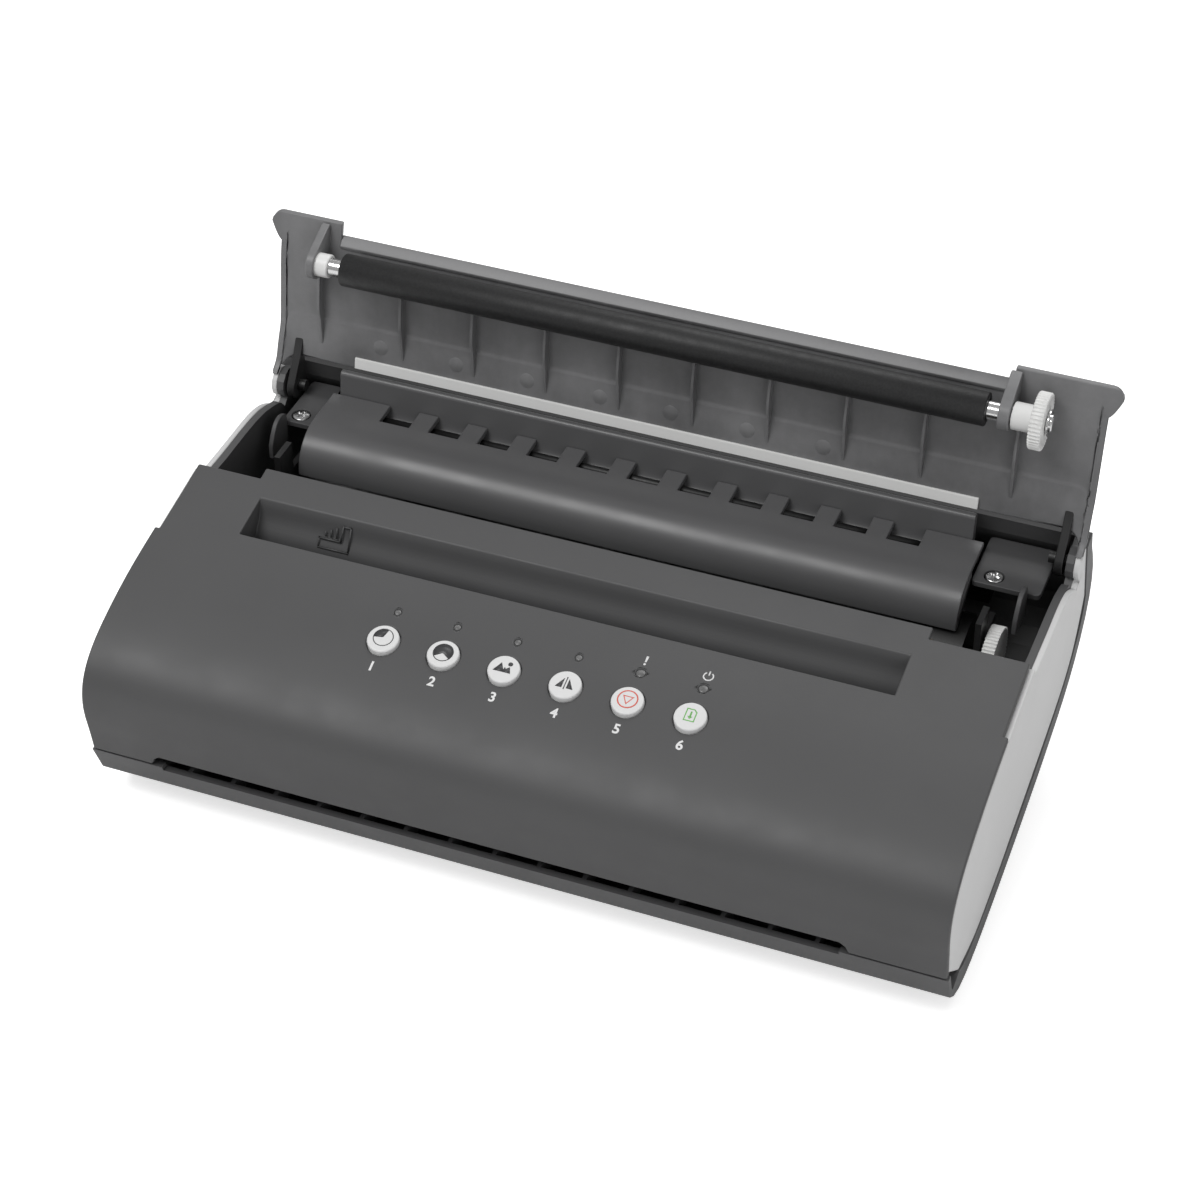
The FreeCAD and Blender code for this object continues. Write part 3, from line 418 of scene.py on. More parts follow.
def turnedAbout(stations, centre, axis, count=40):
    # each (radius, height) carried round an axis that stands on a point; u and w are square to the axis
    s = np.array(stations, float)
    n = np.array(axis, float) / np.linalg.norm(axis)
    u = np.array([1.0, 0.0, 0.0])
    w = np.cross(n, u)
    a = np.linspace(0, 2 * np.pi, count + 1)
    ring = np.cos(a)[None, :, None] * u + np.sin(a)[None, :, None] * w
    grid = np.array(centre, float) + s[:, 0, None, None] * ring + s[:, 1, None, None] * n
    grid[:, -1] = grid[:, 0]
    return grid


def slab(name, rowA, rowB, push, finish, body, **more):
    # the sheet between two rows of points, carried along one straight push and closed all round
    a, b, p = (np.asarray(v, float) for v in (rowA, rowB, push))
    grids = [between(a, a + p), between(b, b + p), between(a, b), between(a + p, b + p),
             between([a[0], a[0] + p], [b[0], b[0] + p]), between([a[-1], a[-1] + p], [b[-1], b[-1] + p])]
    return surface(name, grids, finish, body, closed=True, **more)


def atX(x, line):
    # a (y, z) line standing at one x
    return acrossX([x], line)[0]


def arcLine(centre, radius, low, high, count):
    # centre + radius (cos a, sin a), the angle in degrees running evenly from low to high
    a = np.radians(np.linspace(low, high, count))
    return np.array(centre) + radius * np.stack([np.cos(a), np.sin(a)], 1)


def boredPlate(name, centre, bore, outline, x0, x1, finish, body, flat=False, **more):
    # the band between a round bore and an outline, joined along the same angle at both; it stands between
    # two x, or lies flat between two heights
    out = np.asarray(outline, float)
    out = np.concatenate([out, out[:1]])
    a = np.arctan2(out[:, 1] - centre[1], out[:, 0] - centre[0])
    ring = np.array(centre) + bore * np.stack([np.cos(a), np.sin(a)], 1)
    a0, a1, b0, b1 = (atX(x, line) for line in (ring, out) for x in (x0, x1))
    grids = [between(a0, b0), between(a1, b1), between(b0, b1), between(a0, a1)]
    if flat:
        grids = [np.roll(grid, -1, axis=-1) for grid in grids]
    return surface(name, grids, finish, body, closed=True, **more)


def toothPhase(node, teeth, y, z):
    # where the teeth of a CAD gear stand, as a share of one pitch: the mean turn of its outermost points
    co = np.array([v.co for v in frame["nodes"][node].data.vertices]) / mm
    r = np.hypot(co[:, 1] - y, co[:, 2] - z)
    tips = co[r > r.max() - 0.02]
    return np.angle(np.exp(1j * teeth * np.arctan2(tips[:, 2] - z, tips[:, 1] - y)).mean()) / (2 * np.pi)


def toothedX(rows, teeth, root, tip, y, z, phase=0.0, samples=20):
    # rows of (x, share, r): radius = share * (tooth height at the angle + r) + (1 - share) * r; half a
    # tooth's foot and one of its flanks are shares of a pitch
    footShare, flankShare = 0.25, 0.16
    a = np.linspace(0, 2 * np.pi, teeth * samples + 1)
    f = (a * teeth / (2 * np.pi) - phase + 0.5) % 1.0
    tooth = root + (tip - root) * np.clip((footShare - np.abs(f - 0.5)) / flankShare, 0, 1)
    s = np.array(rows, float)
    radius = s[:, 1:2] * (tooth[None] + s[:, 2:3]) + (1 - s[:, 1:2]) * s[:, 2:3]
    return aroundX(s[:, :1], radius, a, y, z)


def atSize(shares):
    # shares of half the case's depth and of the deck's height, to the nearest hundredth of a millimetre
    halfDepth, deckHigh = 83.0, 82.2
    return [(round(y * halfDepth, 2), round(z * deckHigh, 2)) for y, z in shares]


# Top cover: the deck line carried across, with the trough, the keys' holes and the slot left open
cover = dict(lineShares=((-0.963, 0.302), (-0.983, 0.425), (-1.000, 0.555), (-0.972, 0.668), (-0.893, 0.751),
                         (-0.753, 0.821), (-0.548, 0.887), (-0.300, 0.938), (0.024, 1.000)),
             skin=2.2, half=142.0, halfRear=140.4, stepY=-27.0, noseY=-58.0, edge=0.55,
             centre=(-118.0, 108.6, 6.6), slot=(28.8, 0.4, 1.2), trough=(-114.2, 105.0, -21.7, -5.6),
             lean=((-13.2, 59.5), (-12.65, 63.0), (-11.3, 69.6), (-7.6, 75.2), (-6.35, 79.2)),
             rows=(-30.0, -1.8, 4.4))
keys = dict(xs=[-52.1 + 20.26 * i for i in range(6)], y=-48.0, hole=5.42, cell=8.0, radius=5.15, proud=1.1,
            dome=0.12, fillet=0.62, low=-2.6, brim=1.2, brimThick=0.2, signUp=0.35, ink=0.03)
lamps = dict(y=-36.6, cellX=4.0, cellY=3.0, small=1.1, big=1.5, bigFrom=4, play=0.07, sink=0.15, foot=-6.4,
             crown=((1.0, -0.2), (0.9, -0.05), (0.5, 0.06), (0.0, 0.1)))
deckLine = smoothLine(atSize(cover["lineShares"]), 900)


def deckZ(y):
    # height of the deck above the keys' row and behind, and straight on past its rear edge
    back = deckLine[-1] + (deckLine[-1] - deckLine[-2]) * 40
    top = deckLine[deckLine[:, 1] > 58]
    return np.interp(y, np.append(top[:, 0], back[0]), np.append(top[:, 1], back[1]))


def holePatch(x, y, halfX, halfY, radius, sides):
    # from a round hole out to the rim of a cell: the same angle on both, the rings closer near the hole
    rings, power = 4, 1.4
    corners = np.array([(-1, -1), (1, -1), (1, 1), (-1, 1), (-1, -1)]) * (halfX, halfY)
    w = np.linspace(0, 1, sides + 1)[:-1, None]
    rim = np.concatenate([a + w * (b - a) for a, b in zip(corners, corners[1:])] + [corners[:1]])
    a = np.arctan2(rim[:, 1], rim[:, 0])
    ring = np.stack([radius * np.cos(a), radius * np.sin(a)], 1)
    w = np.linspace(0, 1, rings)[:, None, None] ** power
    flat = ring[None] * (1 - w) + rim[None] * w
    ys = y + flat[..., 1]
    return np.stack([x + flat[..., 0], ys, deckZ(ys)], -1)


def deckColumns(left, right):
    # the x of every seam in the cover, and columns of a limited pitch between them
    pitch = 9
    seams = [left, right] + [v for x in keys["xs"] for v in x + np.linspace(-keys["cell"], keys["cell"], 9)]
    seams += [*cover["centre"][:2], *cover["trough"][:2], -cover["halfRear"], cover["halfRear"]]
    seams = np.unique(np.round([x for x in seams if left <= x <= right], 3))
    filled = [seams[:1]]
    for a, b in zip(seams[:-1], seams[1:]):
        filled.append(np.linspace(a, b, max(2, int((b - a) / pitch) + 2))[1:])
    return np.concatenate(filled)


def within(xs, low, high):
    near = 0.001
    return xs[(xs >= low - near) & (xs <= high + near)]


def gridOverDeck(xs, ys):
    return acrossX(xs, np.stack([ys, deckZ(ys)], 1))


def betweenHoles(cols, reach, rows):
    # the deck on both sides of each hole's cell
    stops = [cols[0]] + [v for x in keys["xs"] for v in (x - reach, x + reach)] + [cols[-1]]
    return [gridOverDeck(within(cols, a, b), rows) for a, b in zip(stops[0::2], stops[1::2])]


def makeCover():
    c, k, m = cover, keys, lamps
    x0, x1, front, rear = c["trough"]
    cols = deckColumns(-c["half"], c["half"])
    inner = within(cols, -c["halfRear"], c["halfRear"])
    slotTop, slotTilt, slotRound = c["slot"]
    rising = deckLine[:200]  # the part of the nose where height only grows
    nose = deckLine[(deckLine[:, 1] > slotTop) & (deckLine[:, 0] < c["noseY"])][8::9]
    slotY = np.interp(slotTop, rising[:, 1], rising[:, 0])
    keyFront, keyRear = k["y"] - k["cell"], k["y"] + k["cell"]
    grids = [acrossX(cols, np.concatenate([[[slotY, slotTop]], nose, [[keyFront, deckZ(keyFront)]]]))]
    # below the slot's top edge only the two ends of the cover go on down
    for side, limit in ((-1, c["centre"][0]), (1, c["centre"][1])):
        part = cols[side * cols >= side * limit]
        rows = []
        for z in np.linspace(slotTop, deckLine[0, 1], 4):
            fall = slotTop - z
            bow = slotRound * (1 - math.sqrt(1 - min(1.0, fall / slotRound) ** 2))
            edgeX = limit + side * (fall * slotTilt + bow)
            reach = (part - limit) * (side * c["half"] - edgeX) / (side * c["half"] - limit) + edgeX
            y = np.interp(z, rising[:, 1], rising[:, 0])
            rows.append(np.stack([reach if fall else part, np.full(len(part), y), np.full(len(part), z)], 1))
        grids.append(np.stack(rows[::-1], 1))
    # the band of keys, then the band of lamps
    grids += betweenHoles(cols, k["cell"], np.linspace(keyFront, keyRear, 9))
    for x in k["xs"]:
        grids.append(holePatch(x, k["y"], k["cell"], k["cell"], k["hole"], 8))
    lampFront, lampRear = m["y"] - m["cellY"], m["y"] + m["cellY"]
    grids.append(gridOverDeck(cols, np.array([keyRear, lampFront])))
    grids += betweenHoles(cols, m["cellX"], np.linspace(lampFront, lampRear, 5))
    for i, x in enumerate(k["xs"]):
        grids.append(holePatch(x, m["y"], m["cellX"], m["cellY"], lampRadius(i) + m["play"], 4))
    # behind the lamps, and past the step in its sides, round the trough
    rowA, rowB, rowC = c["rows"]
    deckRear = deckLine[-1, 0]
    sideRows = np.linspace(front, rear, 7)
    middle = within(inner, x0, x1)
    grids += [gridOverDeck(cols, np.array([lampRear, rowA, c["stepY"]])),
              gridOverDeck(inner, np.linspace(c["stepY"], front, 3)),
              gridOverDeck(within(inner, inner[0], x0), sideRows),
              gridOverDeck(within(inner, x1, inner[-1]), sideRows),
              gridOverDeck(inner, np.array([rear, rowB, deckRear])),
              gridOverDeck(within(inner, *c["centre"][:2]), np.array([deckRear, rowC, c["centre"][2]]))]
    # the trough's four walls: the rear one leans and bends forward at its foot
    depths = 15
    back = smoothLine(c["lean"] + ((rear, deckZ(rear)),), depths)
    drop = np.linspace(deckZ(front), c["lean"][0][1], depths)
    grids += [acrossX(middle, np.stack([np.full(depths, front), drop], 1)), acrossX(middle, back)]
    w = ((sideRows - front) / (rear - front))[:, None]
    ys = front + w * (back[::-1, 0] - front)
    zs = drop * (1 - w) + back[::-1, 1] * w
    zs += (deckZ(sideRows)[:, None] - zs[:, :1]) * np.linspace(1, 0, depths)
    for x, step in ((x0, -1), (x1, 1)):
        grids.append(np.stack([np.full_like(ys, x), ys, zs], -1)[:, ::step])
    return surface("coverShell", grids, "case_grey", "base", ["top_cover"], wall=c["skin"], edge=c["edge"])


def lampRadius(i):
    return lamps["big"] if i >= lamps["bigFrom"] else lamps["small"]


def deckFrame(x, y):
    # a point on the deck with its across, up-the-slope and outward directions
    s = math.atan2(deckZ(y + 1) - deckZ(y - 1), 2.0)
    return (np.array([x, y, deckZ(y)]), np.array([1.0, 0, 0]), np.array([0, math.cos(s), math.sin(s)]),
            np.array([0, -math.sin(s), math.cos(s)]))


def domeHeight(r):
    # proud + dome (1 - (r / flat radius)^2)
    return keys["proud"] + keys["dome"] * (1 - (r / (keys["radius"] - keys["fillet"])) ** 2)


def keyStations():
    # (radius, height): skirt, rounded shoulder, shallow dome up to the pole
    k = keys
    a = np.linspace(0, np.pi / 2, 7)
    shoulder = np.stack([k["radius"] - k["fillet"] * (1 - np.cos(a)),
                         k["proud"] - k["fillet"] * (1 - np.sin(a))], 1)
    r = np.linspace(k["radius"] - k["fillet"], 0, 6)[1:]
    brim, low, high = k["radius"] + k["brim"], k["low"], k["low"] + k["brimThick"]
    skirt = [[0, low], [brim, low], [brim, high], [k["radius"], high]]
    return np.concatenate([skirt, shoulder, np.stack([r, domeHeight(r)], 1)])


def makeKeys():
    for i, x in enumerate(keys["xs"]):
        centre, across, up, out = deckFrame(x, keys["y"])
        grid = turnedAbout(keyStations(), centre, out, 48)
        key = "key_%d" % (i + 1)
        surface("keyCap%d" % (i + 1), [grid], "key_white", key, [key])


def makeLamps():
    m = lamps
    grids = []
    for i, x in enumerate(keys["xs"]):
        centre, across, up, out = deckFrame(x, m["y"])
        r = lampRadius(i)
        stations = [(0, m["foot"]), (r, m["foot"])]
        stations += [(r * share, high - m["sink"]) for share, high in m["crown"]]
        grids.append(turnedAbout(stations, centre, out, 24))
    surface("lampPipeEnds", grids, "lamp_clear", "base", ["lamp_pipes"])


def ringStrip(outer, inner, start=0, stop=360, centre=(0.0, 0.0)):
    return arcLine(centre, inner, start, stop, 40), arcLine(centre, outer, start, stop, 40)


def fanStrip(points, centre=None):
    # a filled outline: every rim point joined to the same middle point
    p = np.array([*points, points[0]], float)
    middle = p[:-1].mean(0) if centre is None else np.array(centre, float)
    return np.repeat(middle[None], len(p), 0), p


def lineStrip(a, b, width):
    a, b = np.array(a, float), np.array(b, float)
    side = np.array([-(b - a)[1], (b - a)[0]]) / np.linalg.norm(b - a) * width / 2
    return np.array([a + side, b + side]), np.array([a - side, b - side])


def symbols():
    # the six keys' pictograms, in millimetres from the key's middle, as strips between two rows
    big, thin = 3.3, 0.28
    left = [(-3.2, -1.6), (0.55, -1.6), (-1.3, 1.75)]
    right = [(-0.1, -1.6), (2.6, -1.6), (1.7, 0.75), (0.75, -0.25), (0.2, 0.35)]
    page = [(-1.75, -2.3), (1.75, -2.3), (1.75, 1.35), (0.75, 2.3), (-1.75, 2.3)]
    pageIn = [(-1.4, -1.95), (1.4, -1.95), (1.4, 1.2), (0.6, 1.95), (-1.4, 1.95)]
    down = [(-1.85, 1.15), (1.85, 1.15), (0.0, -2.05)]
    downIn = [(-1.3, 0.83), (1.3, 0.83), (0.0, -1.42)]
    quarter = [*arcLine((0, 0), big - 0.1, 75, 190, 20), (0, 0)]
    most = [*arcLine((0, 0), big - 0.1, -38, 218, 40), (0.0, -0.3)]
    wingLeft = [(-2.9, -1.7), (-0.75, -1.7), (-0.75, 1.9)]
    wingRight = [(0.75, -1.7), (2.9, -1.7), (0.75, 1.9)]
    arrow = [(-0.85, -0.5), (0.85, -0.5), (0, -1.5)]
    dot = ringStrip(0.75, 0.0, centre=(1.55, 1.75))
    pageIn, page, downIn, down = (np.array(p + p[:1], float) for p in (pageIn, page, downIn, down))
    return [
        ("ink_dark", [ringStrip(big, big - thin), fanStrip(quarter, (-0.9, 0.9))]),
        ("ink_dark", [ringStrip(big, big - thin), fanStrip(most, (0, 0.9))]),
        ("ink_dark", [fanStrip(left), fanStrip(right, (1.2, -0.9)), dot]),
        ("ink_dark", [fanStrip(wingLeft), fanStrip(wingRight), lineStrip((0, -2.2), (0, 2.4), 0.32)]),
        ("ink_red", [ringStrip(big, big - 0.42), (downIn, down)]),
        ("ink_green", [(pageIn, page), lineStrip((0, 1.3), (0, -0.6), 0.5), fanStrip(arrow)]),
    ]


def raised(strip, origin, across, up, out, height):
    rows = [origin + r[:, :1] * across + r[:, 1:] * up + out * height for r in (strip[0], strip[1])]
    return np.stack(rows[::-1], 0)


def domeOver(grid, centre, out):
    # lift each printed point onto the key's shallow dome, and the ink's thickness over it
    flat = grid - centre
    high = flat @ out
    r = np.sqrt(np.maximum((flat ** 2).sum(-1) - high ** 2, 0))
    return grid + (domeHeight(r) - high + keys["ink"])[..., None] * out


def makeSymbols():
    for i, (ink, strips) in enumerate(symbols()):
        centre, across, up, out = deckFrame(keys["xs"][i], keys["y"])
        middle = centre + up * keys["signUp"]
        grids = [domeOver(raised(s, middle, across, up, out, keys["proud"]), centre, out) for s in strips]
        surface("keySymbol%d" % (i + 1), grids, ink, "key_%d" % (i + 1), wall=0.02)


def makeNumerals():
    # plain numbers under the keys, made a mesh and then laid on the slope
    label = dict(size=4.6, y=-57.6, thick=0.03, bolder=0.12, gap=0.02)
    for i, x in enumerate(keys["xs"]):
        words = bpy.data.curves.new("number", "FONT")
        words.body = str(i + 1)
        words.size = label["size"] * mm
        words.align_x, words.align_y = "CENTER", "CENTER"
        words.extrude = label["thick"] * mm
        words.offset = label["bolder"] * mm
        source = addObject("number", words)
        bpy.context.view_layer.update()
        mesh = bpy.data.meshes.new_from_object(source.evaluated_get(bpy.context.evaluated_depsgraph_get()))
        bpy.data.objects.remove(source)
        centre, across, up, out = deckFrame(x, label["y"])
        turn = Matrix([list(r) for r in np.array([across, up, out]).T]).to_4x4()
        mesh.transform(Matrix.Translation(Vector((centre + out * label["gap"]) * mm)) @ turn)
        mesh.materials.clear()
        mesh.materials.append(finishes["ink_white"])
        piece = addObject("keyNumber%d" % (i + 1), mesh)
        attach(piece, "base")


def makeLampSigns():
    # a warning mark and a power sign over the last two lamps
    sign = dict(y=-31.9, height=0.02, thick=0.03)
    stem = [(-0.42, 1.9), (0.42, 1.9), (0.28, -0.55), (-0.28, -0.55)]
    shapes = [[fanStrip(stem), ringStrip(0.42, 0.0, centre=(0, -1.35))],
              [ringStrip(1.75, 1.3, 125, 415), lineStrip((0, 2.1), (0, 0.35), 0.45)]]
    for i, strips in enumerate(shapes):
        centre, across, up, out = deckFrame(keys["xs"][lamps["bigFrom"] + i], sign["y"])
        grids = [raised(s, centre, across, up, out, sign["height"]) for s in strips]
        surface("lampSign%d" % (i + 1), grids, "ink_white", "base", wall=sign["thick"])


# Rear lid: the lines of its back, and of the front edge of its side walls, from the hinge up
lid = dict(backShares=((0.839, 1.017), (0.858, 1.120), (0.878, 1.223), (0.885, 1.302), (0.895, 1.364),
                       (0.914, 1.464), (0.940, 1.561)),
           frontShares=((0.7205, 0.966), (0.752, 0.987), (0.775, 1.012), (0.789, 1.043), (0.818, 1.105),
                        (0.833, 1.136), (0.849, 1.203), (0.860, 1.271), (0.875, 1.370), (0.892, 1.470),
                        (0.914, 1.550)),
           skin=2.2, half=142.3, corner=5.0, fillet=9.0, crease=(99.2, 0.3, 0.5), stations=90, edge=0.5,
           ears=(-120.4, 111.2, 124.4, 134.35, 142.05, 146.0), earThick=2.0, earEdge=0.35, lean=0.25,
           lip=(((74.8, 126.3), (76.4, 126.3), (78.3, 127.0)), ((74.7, 127.3), (76.2, 128.7), (78.0, 129.9))),
           lipEdge=0.25)
ribs = dict(xs=[-127.0] + [-97.0 + 26.0 * i for i in range(8)] + [115.0], low=90.4, full=104.0, top=118.0,
            least=0.1, deep=3.6, root=0.4, thick=1.0, edge=0.25)
marks = dict(xs=(-104.7, -76.9, -51.2, -25.2, -0.3, 26.4, 52.5), z=93.4, radius=2.75, slope=0.2, high=0.1)
platen = dict(y=66.4, z=124.3, shaft=3.0, shaftEdge=0.4, rubber=5.5, rubberEdge=0.25, ends=(-115.0, 105.8),
              long=(-126.0, 127.0), bush=(-124.7, -119.9), bushOuter=(4.0, 3.7, 0.35),
              bracket=((-127.2, -124.4, 4.03), (110.0, 113.7, 3.06)), reach=5.2, rounds=(0.08, 0.12, 0.4),
              arm=((74.0, 116.4), (75.0, 121.0), (76.2, 127.5), (76.9, 133.8), (75.9, 133.9)))
cog = dict(teeth=44, root=8.55, tip=9.30,
           rows=((114.1, 0, 3.03), (114.1, 0, 4.2), (114.4, 0, 4.5), (120.3, 0, 4.5), (120.8, 0, 5.0),
                 (120.8, 1, -0.3), (121.15, 1, 0), (124.55, 1, 0), (124.9, 1, -0.3), (124.9, 0, 7.5),
                 (124.5, 0, 7.2), (124.5, 0, 4.6), (124.9, 0, 4.3), (124.9, 0, 3.03), (114.1, 0, 3.03)))
clip = dict(x=125.3, thick=0.7, inner=2.55, outer=4.4, turn=(40, 320, 40), edge=0.1)
hinge = dict(y=64.0, z=74.6, boss=5.0, bore=2.06, arms=((-136.4, -133.6), (133.6, 136.4)), edge=0.4,
             tail=((69.2, 84.8), (69.9, 90.6), (68.8, 90.8), (65.9, 85.6)))
lidBack = smoothLine(atSize(lid["backShares"]), lid["stations"])
lidFront = smoothLine(atSize(lid["frontShares"]), lid["stations"])
lidInner = sideways(lidBack, lid["skin"])
creaseZ, creaseDeep, creaseHigh = lid["crease"]
lidInner[:, 0] += creaseDeep * np.clip(lidInner[:, 1] - creaseZ, 0, creaseHigh) / creaseHigh


def lidInnerY(z):
    return np.interp(z, lidInner[:, 1], lidInner[:, 0])


def tubRow(front, rear, half, radius):
    # at each station a U: along one side wall, round a corner of the radius, across, and the same mirrored
    deep = np.linalg.norm(rear - front, axis=1)[:, None]
    r = np.minimum(radius, 0.75 * deep)
    turn = np.radians(np.linspace(0, 90, 10))[None]
    side = np.linspace(0, 1, 6)[None, :-1]
    x = np.concatenate([np.full((len(deep), 5), half), half - r + r * np.cos(turn),
                        (half - r) * np.linspace(1, 0, 14)[None, 1:]], 1)
    s = np.concatenate([side * (deep - r), deep - r + r * np.sin(turn), np.repeat(deep, 13, 1)], 1) / deep
    x = np.concatenate([x, -x[:, -2::-1]], 1)
    s = np.concatenate([s, s[:, -2::-1]], 1)[..., None]
    return np.concatenate([x[..., None], front[:, None] * (1 - s) + rear[:, None] * s], 2)


def makeLid():
    n = lid
    out = tubRow(lidFront, lidBack, n["half"], n["corner"])
    inside = tubRow(lidFront, lidInner, n["half"] - n["skin"], n["fillet"])
    grids = [out, inside, between(out[:, 0], inside[:, 0]), between(out[:, -1], inside[:, -1]),
             between(out[0], inside[0]), between(out[-1], inside[-1])]
    surface("lid_shell", grids, "lid_inside", "lid", stands=("rear_lid",), edge=n["edge"], closed=True)
    left, right, low, top, shoulder, tip = n["ears"]
    for name, inner, sign in (("lid_ear_left", -left, -1), ("lid_ear_right", right, 1)):
        x = np.concatenate([np.linspace(inner, shoulder, 7)[:-1],
                            shoulder + (tip - shoulder) * np.sin(np.radians(np.linspace(0, 90, 12)))])
        q = np.clip((x - shoulder) / (tip - shoulder), 0, 1)
        high = top - (tip - shoulder) * (1 - np.sqrt(1 - q ** 2))
        under = low + (high[-1] - low) * q ** 1.5
        rows = [np.stack([sign * x, lidInnerY(low) + n["lean"] * (z - low), z], 1) for z in (high, under)]
        slab(name, rows[0], rows[1], (0, n["earThick"], 0), "lid_inside", "lid", edge=n["earEdge"])
    under, over = (atX(left, line) for line in n["lip"])
    slab("lid_lip", under, over, (right - left, 0, 0), "lid_inside", "lid", edge=n["lipEdge"])


def makeLidRibs():
    r = ribs
    z = np.linspace(r["low"], r["top"], 24)
    depth = r["least"] + r["deep"] * np.clip((z - r["low"]) / (r["full"] - r["low"]), 0, 1)
    root = np.stack([lidInnerY(z) + r["root"], z], 1)
    crest = np.stack([lidInnerY(z) - depth, z], 1)
    for i, x in enumerate(r["xs"]):
        slab("lid_rib_%d" % i, atX(x, root), atX(x, crest), (r["thick"], 0, 0), "lid_inside", "lid",
             edge=r["edge"])
    # the marks lie on the lid's slope, measured over a short rise
    m, rise = marks, 4.0
    slope = lidInnerY(m["z"] + rise / 2) - lidInnerY(m["z"] - rise / 2)
    out = np.array([0.0, -rise, slope]) / math.hypot(rise, slope)
    for i, x in enumerate(m["xs"]):
        disc = turnedAbout([(0, m["high"]), (m["radius"] - m["slope"], m["high"]), (m["radius"], -m["high"])],
                           (x, lidInnerY(m["z"]), m["z"]), out)
        surface("ejector_mark_%d" % i, [disc], "lid_inside", "lid", flip=True)


def makeLidBearings():
    p, h = platen, hinge
    centre = (p["y"], p["z"])
    arm = np.concatenate([arcLine(centre, p["reach"], 105, 258, 26), p["arm"]])
    for i, (x0, x1, bore) in enumerate(p["bracket"]):
        boredPlate("platen_bracket_%d" % i, centre, bore, arm, x0, x1, "lid_inside", "lid",
                   edge=p["rounds"][2])
    centre = (h["y"], h["z"])
    plate = np.concatenate([arcLine(centre, h["boss"], 150, 350, 34), h["tail"]])
    for i, (x0, x1) in enumerate(h["arms"]):
        boredPlate("hinge_arm_%d" % i, centre, h["bore"], plate, x0, x1, "frame_black", "lid",
                   edge=h["edge"])


def makePlaten():
    # sleeve, axle and bush are turned from (x, radius), with a little clearance on the axle; rounds are
    # the edges of the axle, the bush and the brackets
    p = platen
    y, z, r, k = p["y"], p["z"], p["shaft"], p["rubber"]
    sleeveBore, bushBore = r + 0.02, r + 0.05
    a, b = p["ends"]
    e = p["rubberEdge"]
    rows = [(a, sleeveBore), (a, k - e), (a + e, k), (b - e, k), (b, k - e), (b, sleeveBore), (a, sleeveBore)]
    surface("platen_sleeve", [turnedX(rows, y, z, 72)], "roller_rubber", "platen", stands=("platen_rubber",),
            closed=True)
    a, b = p["long"]
    e = p["shaftEdge"]
    rows = [(a, 0), (a, r - e), (a + e, r), (b - e, r), (b, r - e), (b, 0)]
    surface("platen_axle", [turnedX(rows, y, z, 64)], "steel", "platen", stands=("platen_shaft",),
            edge=p["rounds"][0], closed=True)
    a, b = p["bush"]
    outer, end, e = p["bushOuter"]
    rows = [(a, bushBore), (a, outer), (b - e, outer), (b, end), (b, bushBore), (a, bushBore)]
    surface("platen_bearing", [turnedX(rows, y, z, 64)], "white_plastic", "lid", stands=("platen_bush",),
            edge=p["rounds"][1], closed=True)
    phase = toothPhase("platen_gear", cog["teeth"], y, z)
    teeth = toothedX(cog["rows"], cog["teeth"], cog["root"], cog["tip"], y, z, phase)
    surface("platen_cog", [teeth], "white_plastic", "platen", stands=("platen_gear",), closed=True)
    inner, outer = (atX(clip["x"], arcLine((y, z), v, *clip["turn"])) for v in (clip["inner"], clip["outer"]))
    slab("platen_circlip", inner, outer, (clip["thick"], 0, 0), "steel", "platen", stands=("platen_clip",),
         edge=clip["edge"])


# Paper guide: a rounded front from its foot up to the bend, then flat, with notches open to the rear;
# then the bar behind it, the plates and screws in the wells, the latch fingers and the side panels
guide = dict(foot=(34.0, 60.0), bend=(50.0, 74.3), full=0.88, rear=64.0, cheek=((36.0, 60.2), (50.0, 69.0)),
             ends=(-121.0, 109.6), wall=2.0, edge=0.4, notch=(-99.5, 17.9, 10.8, 11, 54.6),
             shaft=(59.4, 70.6, 1.5), shaftIn=0.5, cheekIn=0.02)
bar = dict(ends=(-118.7, 105.6), y=66.9, z=80.8, radius=1.6, front=60.0, low=67.0, edge=0.3,
           ramp=((60.0, 68.0), (62.9, 69.6), (64.5, 74.3), (65.3, 80.8)))
plates = dict(sides=((-132.6, -121.4, -127.8), (110.0, 132.6, 116.4)), y=(47.5, 72.0), z=(69.0, 71.0),
              screwY=52.2, bore=3.3, round=1.4, edge=0.3)
screws = dict(radius=2.9, low=69.6, top=70.9, crown=0.45, cross=(1.75, 0.42, 0.7), turn=0.4,
              round=(0.25, 0.2))
fingers = dict(xs=(-132.4, 127.0), thick=1.6, y=(35.5, 47.5), z=(63.0, 75.4), edge=0.35, crestShare=0.62,
               nose=(7.4, 2.2), heel=(1.6, 2))
panels = dict(x=(140.0, 142.1), edge=0.6, centre=(0.0, 46.0), gap=2.5, play=0.06,
              low=((-65.6, 15.0), (-48.9, 11.6), (-7.0, 16.2), (41.6, 26.0), (65.2, 36.1), (74.7, 53.9)),
              shoulder=((3.0, 76.1), (30.0, 75.8), (50.0, 73.4), (59.0, 67.7)),
              rear=((71.5, 64.0), (66.5, 70.5)))
lug = dict(rear=((74.6, 54.2), (70.6, 67.0)), bulge=(5.4, 60, 240, 7), front=((62.4, 65.5), (66.5, 60.5)),
           centre=(65.0, 69.0), edge=0.4)
emboss = dict(left=-92.0, foot=70.6, wide=1.35, high=0.82, line=0.45, proud=0.3, root=0.1, top=(-5.6, 80.7),
              lean=0.514,
              lines=(((0, 0), (0, 3.4), (5.6, 3.4), (5.8, 9.0), (7.8, 9.0), (7.8, 0), (0, 0)),
                     ((4.4, 4.6), (4.2, 7.8)), ((3.0, 4.6), (2.8, 6.8)), ((1.6, 4.6), (1.4, 5.8))))
tape = dict(thick=0.85, play=0.05, back=0.9, edge=0.2)


